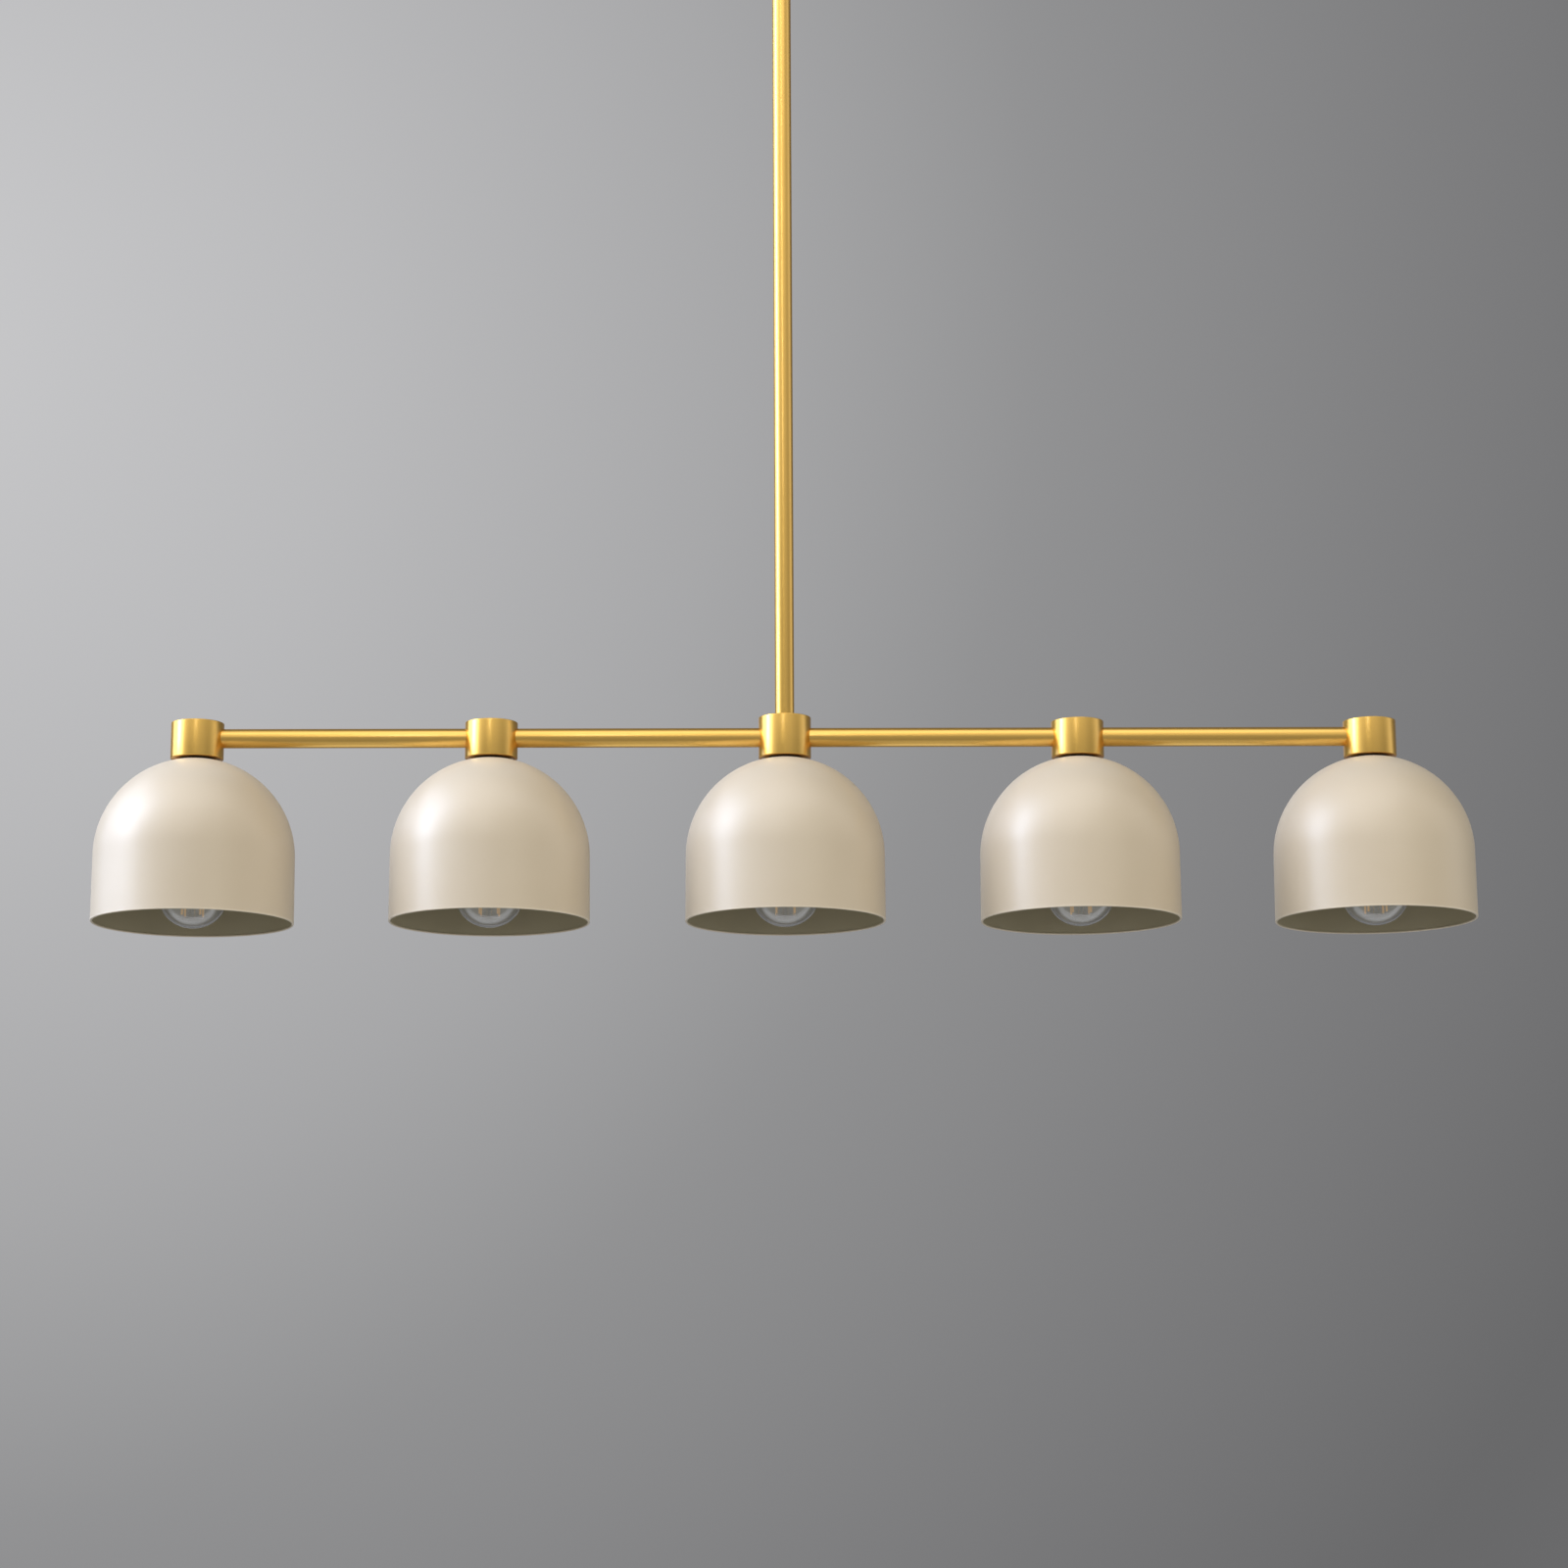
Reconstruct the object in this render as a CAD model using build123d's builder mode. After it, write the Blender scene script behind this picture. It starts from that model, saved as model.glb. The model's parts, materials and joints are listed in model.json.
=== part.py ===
"""Linear island pendant: five dome shades on a straight bar, hung from the ceiling by one stem.

Millimetres. The origin is the middle of the ceiling plane, +Z is up and +X runs along the bar, so the
whole lamp hangs at negative Z. Each lamp is drawn about its own axis from the underside of its hub,
and each bulb from its lowest point, and both are then set in place.
"""

from build123d import *
import math
import os

os.makedirs("parts", exist_ok=True)

# ---------------------------------------------------------------- driving dimensions

# Overall
LAMP_COUNT = 5
LAMP_SPACING = 243.5
STEM_LENGTH = 762.0

# Clearances
FIT = 0.05  # radial play of screwed and pressed pieces
SLIP = 0.08  # radial play of the swivel on its hanger
RUN = 0.3  # gap between spherical surfaces that move on each other
SIT = 0.2  # axial play under a collar

# Tubes and hubs
TUBE_D = 16.0
TUBE_WALL = 1.5
TUBE_SETBACK = 0.5  # a tube ends this far short of its hub's cavity
HUB_D = 43.6
HUB_CAVITY_D = 26.0
HUB_FLOOR_TO_BAR = 17.5  # underside of the hub to the axis of the bar
HUB_ROOF = 4.9  # metal over the bar tubes in an ordinary hub
CENTRE_ROOF = 8.2  # metal over the cavity in the middle hub, which grips the stem
CAVITY_ROOM = 0.5  # cavity above the bar tubes
HUB_EDGE = 0.4
GRUB_D = 4.0
GRUB_SUNK = 1.5  # how deep a grub screw's outer end lies below the surface
GRUB_KEY = 2.0
PLATE_T = 3.0
SPANNER_HOLE_D = 2.5
SPANNER_HOLE_INSET = 4.0

# Shades
SHADE_D = 165.0
SKIRT_H = 55.0
SKIRT_DRAFT = 0.3  # the rim is wider than the dome by this, each side
SHADE_WALL = 1.2
SHADE_PAD_D = 29.0  # flat on the crown
SHADE_HOLE_PLAY = 0.3
LIP_W = 1.8
LIP_H = 1.6
LIP_ROUND = 0.4
WASHER_T = 1.1

# Nipple, nut and socket
NIPPLE_D = 10.0
NIPPLE_BORE = 7.0
NIPPLE_ABOVE_PLATE = 3.0
LOCKNUT_ACROSS = 17.0
LOCKNUT_T = 4.0
SOCKET_D = 38.0
SOCKET_CAP_H = 18.7
SOCKET_CAP_WALL = 0.8
SOCKET_CAP_ROOF = 1.5
SOCKET_GRIP = 4.0  # nipple inside the socket cap
BARREL_H = 40.0
BARREL_FLOOR = 8.0
BARREL_ROUND = 2.0
BOSS_D = 30.0
BOSS_H = 6.0
SHELL_T = 0.5
SHELL_SETBACK = 4.0  # screw shell to the socket's mouth
SHELL_H = 24.0
CONTACT_D = 12.0
CONTACT_T = 0.6
CONTACT_TONGUE_D = 6.0
CONTACT_TONGUE_H = 1.1
TERMINAL_R = 10.0  # terminal screws off the axis
TERMINAL_HEAD_D = 6.0
TERMINAL_HEAD_H = 2.2
TERMINAL_SHANK_D = 3.0
TERMINAL_SHANK_H = 4.0

# Bulb
BULB_LENGTH = 106.0
BULB_D = 60.0
GLASS_WALL = 0.8
NECK_D = 25.0
NECK_IN_CAP = 0.5  # the straight neck starts this far inside the cap
BULB_CAP_D = 26.0
BULB_CAP_H = 26.5
BULB_CAP_WALL = 0.4
BULB_CAP_END = 10.0  # solid end of the cap: shoulder, insulator and contact button
BULB_SHOULDER = 4.0
BUTTON_D = 9.0
BUTTON_TIP_D = 4.5
BUTTON_H = 1.5
CAP_GAP = 0.3  # bulb cap inside the socket's screw shell
FLARE_DROP = 10.0  # glass stem's flare below the neck's end
FLARE_H = 12.0
MOUNT_D = 8.4
MOUNT_ROD_D = 4.4
MOUNT_TAPER = 4.0
FILAMENT_COUNT = 4
FILAMENT_D = 1.8
FILAMENT_L = 38.0
FILAMENT_R = 10.5
FILAMENT_START = 9.0  # lower ends above the bulb's lowest point
WIRE_T = 0.6

# Wiring
LEAD_D = 1.8
LEAD_SIDE = 2.1  # live and neutral run this far either side of the middle plane
LEAD_LANE = 2.2  # upper and lower lanes off the bar's axis
LEAD_HUB_BEND = 9.0
EARTH_OFFSET = 2.0
BLOCK_L = 13.0
BLOCK_W = 4.8
BLOCK_GAP = 2.2  # between the two connector blocks
BLOCK_H = 9.4
BLOCK_ROUND = 0.6
EARTH_POST_D = 3.0
EARTH_POST_H = 4.0
EARTH_POST_R = 9.5
EARTH_RISE = 4.0
EARTH_CROSS = 7.0
EARTH_BEND_SHARE = 0.45  # of the earth lead's first rise, taken up by its bend

# Ceiling end
CANOPY_D = 130.0
CANOPY_H = 25.0
CANOPY_WALL = 1.2
CANOPY_EDGE = 5.0
CANOPY_PLAY = 0.5  # round the swivel and the studs
CROSSBAR_W = 20.0
CROSSBAR_T = 2.0
SLOT_SPACING = 79.4
SLOT_LENGTH = 14.5
SLOT_W = 5.0
STUD_D = 4.0
STUD_INSET = 13.0  # stud's axis inside the canopy's outside
STUD_EDGE = 6.0  # stud's axis to the end of the crossbar
STUD_BELOW = 6.0
CAP_NUT_D = 10.0
CAP_NUT_H = 9.0
CAP_NUT_BODY_H = 5.0
EARTH_SCREW_X = 22.0
EARTH_SCREW_D = 4.0
EARTH_HEAD_D = 8.0
EARTH_HEAD_H = 2.5
EARTH_HEAD_ROUND = 0.8
HANGER_D = 10.0
HANGER_BORE = 6.5
HANGER_NUT_ACROSS = 14.0
HANGER_NUT_T = 4.0
FLANGE_D = 16.0
FLANGE_T = 1.5

# Swivel
BALL_D = 20.0
BALL_BELOW_CANOPY = 2.0  # ball's centre under the canopy's face
BALL_HEADROOM = 1.3
BALL_NECK_D = 10.0
BALL_NECK_GRIP = 10.0
LINER_T = 1.2
LINER_LOW = 6.0  # liner's lower edge under the ball's centre
LINER_HIGH = 4.0
SWIVEL_WALL = 2.2
SEAT_DROP = 8.0  # swivel body's mouth under the ball's centre
SWIVEL_EDGE = 0.8
SWIVEL_CAP_T = 5.0
SPIGOT_T = 1.2
SPIGOT_H = 3.0
STEM_TOP_DROP = 13.0  # top of the stem under the ball's centre
BUSH_H = 14.0

# ---------------------------------------------------------------- sizes that follow

TUBE_R = TUBE_D / 2
TUBE_BORE_R = TUBE_R - TUBE_WALL
HUB_R = HUB_D / 2
CAVITY_R = HUB_CAVITY_D / 2
CAVITY_H = HUB_FLOOR_TO_BAR + TUBE_R + CAVITY_ROOM
HUB_H = HUB_FLOOR_TO_BAR + TUBE_R + HUB_ROOF
CENTRE_HUB_H = CAVITY_H + CENTRE_ROOF
HUB_WALL_MID = (HUB_R + CAVITY_R) / 2

BALL_R = BALL_D / 2
LINER_IN_R = BALL_R + RUN
LINER_OUT_R = LINER_IN_R + LINER_T
SEAT_R = LINER_OUT_R + RUN
SWIVEL_R = SEAT_R + SWIVEL_WALL

BALL_Z = -CANOPY_H - BALL_BELOW_CANOPY
FLANGE_BOTTOM_Z = BALL_Z + BALL_R + BALL_HEADROOM
SWIVEL_TOP_Z = FLANGE_BOTTOM_Z + FLANGE_T + SIT
STEM_TOP_Z = BALL_Z - STEM_TOP_DROP
STEM_BOTTOM_Z = STEM_TOP_Z - STEM_LENGTH
HUB_Z = STEM_BOTTOM_Z - TUBE_SETBACK - CAVITY_H

MIDDLE = LAMP_COUNT // 2
LAMP_XS = [(number - (LAMP_COUNT - 1) / 2) * LAMP_SPACING for number in range(LAMP_COUNT)]
LAMP_PLACES = [(x, 0, HUB_Z) for x in LAMP_XS]

# Heights below are in the lamp's own frame: zero is the underside of the hub.
PAD_R = SHADE_PAD_D / 2
DOME_R = SHADE_D / 2 - SKIRT_DRAFT
DOME_IN_R = DOME_R - SHADE_WALL
PAD_Z = -WASHER_T
DOME_CENTRE_Z = PAD_Z - math.sqrt(DOME_R**2 - PAD_R**2)
PAD_IN_Z = PAD_Z - SHADE_WALL
PAD_IN_R = math.sqrt(DOME_IN_R**2 - (PAD_IN_Z - DOME_CENTRE_Z) ** 2)
RIM_Z = DOME_CENTRE_Z - SKIRT_H
SOCKET_TOP_Z = PAD_IN_Z - LOCKNUT_T
BARREL_TOP_Z = SOCKET_TOP_Z - SOCKET_CAP_H
BARREL_MOUTH_Z = BARREL_TOP_Z - BARREL_H
BOSS_TOP_Z = BARREL_TOP_Z + BOSS_H
SOCKET_FLOOR_Z = BARREL_TOP_Z - BARREL_FLOOR
CONTACT_Z = SOCKET_FLOOR_Z - CONTACT_T - CONTACT_TONGUE_H
NIPPLE_TOP_Z = PLATE_T + NIPPLE_ABOVE_PLATE
NIPPLE_BOTTOM_Z = SOCKET_TOP_Z - SOCKET_GRIP
BULB_Z = CONTACT_Z - CAP_GAP - BULB_LENGTH
SHELL_IN_R = BULB_CAP_D / 2 + CAP_GAP
SHELL_OUT_R = SHELL_IN_R + SHELL_T

STUD_X = CANOPY_D / 2 - STUD_INSET
BULB_PLACES = [(x, 0, HUB_Z + BULB_Z) for x in LAMP_XS]


# ---------------------------------------------------------------- ceiling end

with BuildPart() as crossbar:
    with BuildSketch(Plane.XY.offset(-CROSSBAR_T)):
        Rectangle(2 * (STUD_X + STUD_EDGE), CROSSBAR_W)
        Circle(HANGER_D / 2 + FIT, mode=Mode.SUBTRACT)
        with GridLocations(SLOT_SPACING, 0, 2, 1):
            SlotOverall(SLOT_LENGTH, SLOT_W, mode=Mode.SUBTRACT)
        with GridLocations(2 * STUD_X, 0, 2, 1):
            Circle(STUD_D / 2 + FIT, mode=Mode.SUBTRACT)
        with Locations((EARTH_SCREW_X, 0)):
            Circle(EARTH_SCREW_D / 2 + FIT, mode=Mode.SUBTRACT)
    extrude(amount=CROSSBAR_T)
crossbar.part.label = "crossbar"
export_step(crossbar.part, "parts/crossbar.step")

# The canopy is a pan that opens upwards, with a rounded edge.
with BuildPart() as canopy:
    with BuildSketch(Plane.XZ):
        with Locations((0, -CANOPY_H)):
            Rectangle(CANOPY_D / 2, CANOPY_H, align=(Align.MIN, Align.MIN))
    revolve(axis=Axis.Z)
    fillet(canopy.edges().filter_by(GeomType.CIRCLE).sort_by(Axis.Z)[0], CANOPY_EDGE)
    offset(amount=-CANOPY_WALL, openings=canopy.faces().sort_by(Axis.Z)[-1])
    with BuildSketch(Plane.XY.offset(-CANOPY_H)):
        Circle(SWIVEL_R + CANOPY_PLAY)
        with GridLocations(2 * STUD_X, 0, 2, 1):
            Circle(STUD_D / 2 + CANOPY_PLAY)
    extrude(amount=CANOPY_WALL, mode=Mode.SUBTRACT)
canopy.part.label = "canopy"
export_step(canopy.part, "parts/canopy.step")

with BuildPart() as canopy_studs:
    with BuildSketch():
        with GridLocations(2 * STUD_X, 0, 2, 1):
            Circle(STUD_D / 2)
    extrude(amount=-CANOPY_H - STUD_BELOW)
canopy_studs.part.label = "canopy_studs"
export_step(canopy_studs.part, "parts/canopy_studs.step")

with BuildPart() as cap_nut:
    with BuildSketch(Plane.XZ):
        with BuildLine():
            dome_h = CAP_NUT_H - CAP_NUT_BODY_H
            dome_centre = (0, -CAP_NUT_BODY_H)
            Polyline((0, 0), (CAP_NUT_D / 2, 0), (CAP_NUT_D / 2, -CAP_NUT_BODY_H))
            EllipticalCenterArc(dome_centre, CAP_NUT_D / 2, dome_h, start_angle=-90, arc_size=90)
            Line((0, -CAP_NUT_H), (0, 0))
        make_face()
    revolve(axis=Axis.Z)
    with BuildSketch():
        Circle(STUD_D / 2 + FIT)
    extrude(amount=-STUD_BELOW - FIT, mode=Mode.SUBTRACT)

with BuildPart() as canopy_cap_nuts:
    with Locations((-STUD_X, 0, -CANOPY_H), (STUD_X, 0, -CANOPY_H)):
        add(cap_nut.part)
canopy_cap_nuts.part.label = "canopy_cap_nuts"
export_step(canopy_cap_nuts.part, "parts/canopy_cap_nuts.step")

with BuildPart() as earth_screw:
    with BuildSketch(Plane.XY.offset(-CROSSBAR_T)):
        with Locations((EARTH_SCREW_X, 0)):
            Circle(EARTH_HEAD_D / 2)
    extrude(amount=-EARTH_HEAD_H)
    fillet(earth_screw.edges().sort_by(Axis.Z)[0], EARTH_HEAD_ROUND)
    with BuildSketch(Plane.XY.offset(-CROSSBAR_T)):
        with Locations((EARTH_SCREW_X, 0)):
            Circle(EARTH_SCREW_D / 2)
    extrude(amount=CROSSBAR_T)
earth_screw.part.label = "earth_screw"
export_step(earth_screw.part, "parts/earth_screw.step")

# The hanger is screwed up into the crossbar, and the swivel turns on its flange.
with BuildPart() as hanger_nipple:
    with BuildSketch(Plane.XY.offset(FLANGE_BOTTOM_Z)):
        Circle(FLANGE_D / 2)
    extrude(amount=FLANGE_T)
    with BuildSketch(Plane.XY.offset(FLANGE_BOTTOM_Z)):
        Circle(HANGER_D / 2)
    extrude(amount=-FLANGE_BOTTOM_Z)
    with BuildSketch(Plane.XY.offset(FLANGE_BOTTOM_Z)):
        Circle(HANGER_BORE / 2)
    extrude(amount=-FLANGE_BOTTOM_Z, mode=Mode.SUBTRACT)
hanger_nipple.part.label = "hanger_nipple"
export_step(hanger_nipple.part, "parts/hanger_nipple.step")

with BuildPart() as hanger_nut:
    with BuildSketch(Plane.XY.offset(-CROSSBAR_T)):
        RegularPolygon(HANGER_NUT_ACROSS / 2, 6, major_radius=False)
        Circle(HANGER_D / 2 + FIT, mode=Mode.SUBTRACT)
    extrude(amount=-HANGER_NUT_T)
hanger_nut.part.label = "hanger_nut"
export_step(hanger_nut.part, "parts/hanger_nut.step")

# ---------------------------------------------------------------- swivel

with BuildPart() as swivel_cap:
    with BuildSketch(Plane.XY.offset(SWIVEL_TOP_Z)):
        Circle(SWIVEL_R)
        Circle(HANGER_D / 2 + SLIP, mode=Mode.SUBTRACT)
    extrude(amount=SWIVEL_CAP_T)
    chamfer(swivel_cap.edges().group_by(Axis.Z)[-1].sort_by(SortBy.LENGTH)[-1], SWIVEL_EDGE)
    with BuildSketch(Plane.XY.offset(SWIVEL_TOP_Z)):
        Circle(SEAT_R - FIT)
        Circle(SEAT_R - FIT - SPIGOT_T, mode=Mode.SUBTRACT)
    extrude(amount=-SPIGOT_H)
swivel_cap.part.label = "swivel_cap"
export_step(swivel_cap.part, "parts/swivel_cap.step")

# The body's inside is a cup: a sphere below the ball's centre, a straight bore above it.
with BuildPart() as swivel_body:
    with BuildSketch(Plane.XY.offset(BALL_Z - SEAT_DROP)):
        Circle(SWIVEL_R)
    extrude(amount=SWIVEL_TOP_Z - BALL_Z + SEAT_DROP)
    chamfer(swivel_body.edges().sort_by(Axis.Z)[0], SWIVEL_EDGE)
    with Locations((0, 0, BALL_Z)):
        Sphere(SEAT_R, mode=Mode.SUBTRACT)
    with BuildSketch(Plane.XY.offset(BALL_Z)):
        Circle(SEAT_R)
    extrude(amount=SWIVEL_TOP_Z - BALL_Z, mode=Mode.SUBTRACT)
swivel_body.part.label = "swivel_body"
export_step(swivel_body.part, "parts/swivel_body.step")

with BuildPart() as swivel_liner:
    with BuildSketch(Plane.XY.offset(BALL_Z - LINER_LOW)):
        Circle(SEAT_R)
    extrude(amount=LINER_LOW + LINER_HIGH)
    with Locations((0, 0, BALL_Z)):
        Sphere(LINER_OUT_R, mode=Mode.INTERSECT)
        Sphere(LINER_IN_R, mode=Mode.SUBTRACT)
swivel_liner.part.label = "swivel_liner"
export_step(swivel_liner.part, "parts/swivel_liner.step")

with BuildPart() as swivel_ball:
    with Locations((0, 0, BALL_Z)):
        Sphere(BALL_R)
    with BuildSketch(Plane.XY.offset(BALL_Z)):
        Circle(BALL_NECK_D / 2)
    extrude(amount=-STEM_TOP_DROP - BALL_NECK_GRIP)
    with BuildSketch(Plane.XY.offset(BALL_Z + BALL_R)):
        Circle(HANGER_BORE / 2)
    extrude(amount=-BALL_R - STEM_TOP_DROP - BALL_NECK_GRIP, mode=Mode.SUBTRACT)
swivel_ball.part.label = "swivel_ball"
export_step(swivel_ball.part, "parts/swivel_ball.step")

# ---------------------------------------------------------------- stem, hubs and bar

with BuildPart() as stem_tube:
    with BuildSketch(Plane.XY.offset(STEM_BOTTOM_Z)):
        Circle(TUBE_R)
        Circle(TUBE_BORE_R, mode=Mode.SUBTRACT)
    extrude(amount=STEM_LENGTH)
stem_tube.part.label = "stem_tube"
export_step(stem_tube.part, "parts/stem_tube.step")

with BuildPart() as stem_bush:
    with BuildSketch(Plane.XY.offset(STEM_TOP_Z)):
        Circle(TUBE_BORE_R - FIT)
        Circle(BALL_NECK_D / 2 + FIT, mode=Mode.SUBTRACT)
    extrude(amount=-BUSH_H)
stem_bush.part.label = "stem_bush"
export_step(stem_bush.part, "parts/stem_bush.step")

# A hub is bored from below for the wiring and from the side for each tube that it holds.
for number, x in enumerate(LAMP_XS):
    is_middle = number == MIDDLE
    hub_h = CENTRE_HUB_H if is_middle else HUB_H
    sides = [side for side in (-1, 1) if 0 <= number + side < LAMP_COUNT]
    with BuildPart() as hub:
        with BuildSketch(Plane((x, 0, HUB_Z))):
            Circle(HUB_R)
        extrude(amount=hub_h)
        chamfer(hub.edges().filter_by(GeomType.CIRCLE), HUB_EDGE)
        with BuildSketch(Plane((x, 0, HUB_Z))):
            Circle(CAVITY_R)
        extrude(amount=CAVITY_H, mode=Mode.SUBTRACT)
        for side in sides:
            bar_bore = Plane((x, 0, HUB_Z + HUB_FLOOR_TO_BAR), z_dir=(side, 0, 0))
            with BuildSketch(bar_bore):
                Circle(TUBE_R + FIT)
            extrude(amount=HUB_R, mode=Mode.SUBTRACT)
            with BuildSketch(Plane((x + side * HUB_WALL_MID, 0, HUB_Z))):
                Circle(GRUB_D / 2 + FIT)
            extrude(amount=HUB_FLOOR_TO_BAR, mode=Mode.SUBTRACT)
        if is_middle:
            with BuildSketch(Plane((x, 0, HUB_Z + CAVITY_H))):
                Circle(TUBE_R + FIT)
            extrude(amount=CENTRE_ROOF, mode=Mode.SUBTRACT)
            stem_grub = Plane((x, 0, HUB_Z + CAVITY_H + CENTRE_ROOF / 2), z_dir=(0, 1, 0))
            with BuildSketch(stem_grub):
                Circle(GRUB_D / 2 + FIT)
            extrude(amount=HUB_R, mode=Mode.SUBTRACT)
    hub.part.label = f"hub_{number + 1}"
    export_step(hub.part, f"parts/{hub.part.label}.step")

for number in range(LAMP_COUNT - 1):
    start_x = LAMP_XS[number] + CAVITY_R + TUBE_SETBACK
    bar_length = LAMP_SPACING - 2 * (CAVITY_R + TUBE_SETBACK)
    with BuildPart() as bar_tube:
        with BuildSketch(Plane((start_x, 0, HUB_Z + HUB_FLOOR_TO_BAR), z_dir=(1, 0, 0))):
            Circle(TUBE_R)
            Circle(TUBE_BORE_R, mode=Mode.SUBTRACT)
        extrude(amount=bar_length)
    bar_tube.part.label = f"bar_tube_{number + 1}"
    export_step(bar_tube.part, f"parts/{bar_tube.part.label}.step")

# Grub screws stand on end with their hexagon key hole outwards: below for the bar, behind for the stem.
BAR_GRUB_L = HUB_FLOOR_TO_BAR - TUBE_R - GRUB_SUNK - FIT
STEM_GRUB_L = HUB_R - TUBE_R - GRUB_SUNK - FIT
grub_planes = []
for number, x in enumerate(LAMP_XS):
    for side in (-1, 1):
        if 0 <= number + side < LAMP_COUNT:
            place = (x + side * HUB_WALL_MID, 0, HUB_Z + GRUB_SUNK)
            grub_planes.append((Plane(place), BAR_GRUB_L))
stem_grub_place = (
    LAMP_XS[MIDDLE],
    HUB_R - GRUB_SUNK,
    HUB_Z + CAVITY_H + CENTRE_ROOF / 2,
)
grub_planes.append((Plane(stem_grub_place, z_dir=(0, -1, 0)), STEM_GRUB_L))

with BuildPart() as tube_grub_screws:
    for plane, length in grub_planes:
        with BuildSketch(plane):
            Circle(GRUB_D / 2)
        extrude(amount=length)
        with BuildSketch(plane):
            RegularPolygon(GRUB_KEY / 2, 6, major_radius=False)
        extrude(amount=GRUB_KEY, mode=Mode.SUBTRACT)
tube_grub_screws.part.label = "tube_grub_screws"
export_step(tube_grub_screws.part, "parts/tube_grub_screws.step")

with BuildPart() as hub_plates:
    for place in LAMP_PLACES:
        with BuildSketch(Plane(place)):
            Circle(CAVITY_R - FIT)
            Circle(NIPPLE_D / 2 + FIT, mode=Mode.SUBTRACT)
            with GridLocations(0, 2 * (CAVITY_R - SPANNER_HOLE_INSET), 1, 2):
                Circle(SPANNER_HOLE_D / 2, mode=Mode.SUBTRACT)
        extrude(amount=PLATE_T)
hub_plates.part.label = "hub_plates"
export_step(hub_plates.part, "parts/hub_plates.step")

# ---------------------------------------------------------------- shades

with BuildPart() as shade_form:
    with BuildSketch(Plane.XZ):
        with BuildLine():
            pad_angle = math.degrees(math.acos(PAD_R / DOME_R))
            pad_in_angle = math.degrees(math.acos(PAD_IN_R / DOME_IN_R))
            hole_r = NIPPLE_D / 2 + SHADE_HOLE_PLAY
            rim_r = SHADE_D / 2
            Line((hole_r, PAD_Z), (PAD_R, PAD_Z))
            CenterArc((0, DOME_CENTRE_Z), DOME_R, 0, pad_angle)
            Polyline(
                (DOME_R, DOME_CENTRE_Z),
                (rim_r, RIM_Z),
                (rim_r - LIP_W, RIM_Z),
                (rim_r - LIP_W, RIM_Z + LIP_H),
                (rim_r - SHADE_WALL, RIM_Z + LIP_H),
                (DOME_IN_R, DOME_CENTRE_Z),
            )
            CenterArc((0, DOME_CENTRE_Z), DOME_IN_R, 0, pad_in_angle)
            Polyline((PAD_IN_R, PAD_IN_Z), (hole_r, PAD_IN_Z), (hole_r, PAD_Z))
        make_face()
    revolve(axis=Axis.Z)
    fillet(shade_form.edges().group_by(Axis.Z)[0], LIP_ROUND)

for number, place in enumerate(LAMP_PLACES):
    with BuildPart() as shade:
        with Locations(place):
            add(shade_form.part)
    shade.part.label = f"shade_{number + 1}"
    export_step(shade.part, f"parts/{shade.part.label}.step")

with BuildPart() as washer:
    with BuildSketch(Plane.XY.offset(PAD_Z)):
        Circle(PAD_R - RUN)
        Circle(NIPPLE_D / 2 + SHADE_HOLE_PLAY, mode=Mode.SUBTRACT)
    extrude(amount=WASHER_T)

with BuildPart() as shade_washers:
    with Locations(*LAMP_PLACES):
        add(washer.part)
shade_washers.part.label = "shade_washers"
export_step(shade_washers.part, "parts/shade_washers.step")

# ---------------------------------------------------------------- nipples and sockets

with BuildPart() as lamp_nipple:
    with BuildSketch(Plane.XY.offset(NIPPLE_BOTTOM_Z)):
        Circle(NIPPLE_D / 2)
        Circle(NIPPLE_BORE / 2, mode=Mode.SUBTRACT)
    extrude(amount=NIPPLE_TOP_Z - NIPPLE_BOTTOM_Z)

with BuildPart() as lamp_nipples:
    with Locations(*LAMP_PLACES):
        add(lamp_nipple.part)
lamp_nipples.part.label = "lamp_nipples"
export_step(lamp_nipples.part, "parts/lamp_nipples.step")

with BuildPart() as locknut:
    with BuildSketch(Plane.XY.offset(PAD_IN_Z)):
        RegularPolygon(LOCKNUT_ACROSS / 2, 6, major_radius=False)
        Circle(NIPPLE_D / 2 + FIT, mode=Mode.SUBTRACT)
    extrude(amount=-LOCKNUT_T)

with BuildPart() as lamp_locknuts:
    with Locations(*LAMP_PLACES):
        add(locknut.part)
lamp_locknuts.part.label = "lamp_locknuts"
export_step(lamp_locknuts.part, "parts/lamp_locknuts.step")

with BuildPart() as socket_cap:
    with BuildSketch(Plane.XY.offset(BARREL_TOP_Z)):
        Circle(SOCKET_D / 2)
    extrude(amount=SOCKET_CAP_H)
    fillet(socket_cap.edges().sort_by(Axis.Z)[-1], SOCKET_CAP_ROOF)
    with BuildSketch(Plane.XY.offset(BARREL_TOP_Z)):
        Circle(SOCKET_D / 2 - SOCKET_CAP_WALL)
    extrude(amount=SOCKET_CAP_H - SOCKET_CAP_ROOF, mode=Mode.SUBTRACT)
    with BuildSketch(Plane.XY.offset(BARREL_TOP_Z)):
        Circle(NIPPLE_D / 2 + FIT)
    extrude(amount=SOCKET_CAP_H, mode=Mode.SUBTRACT)

with BuildPart() as socket_caps:
    with Locations(*LAMP_PLACES):
        add(socket_cap.part)
socket_caps.part.label = "socket_caps"
export_step(socket_caps.part, "parts/socket_caps.step")

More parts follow.
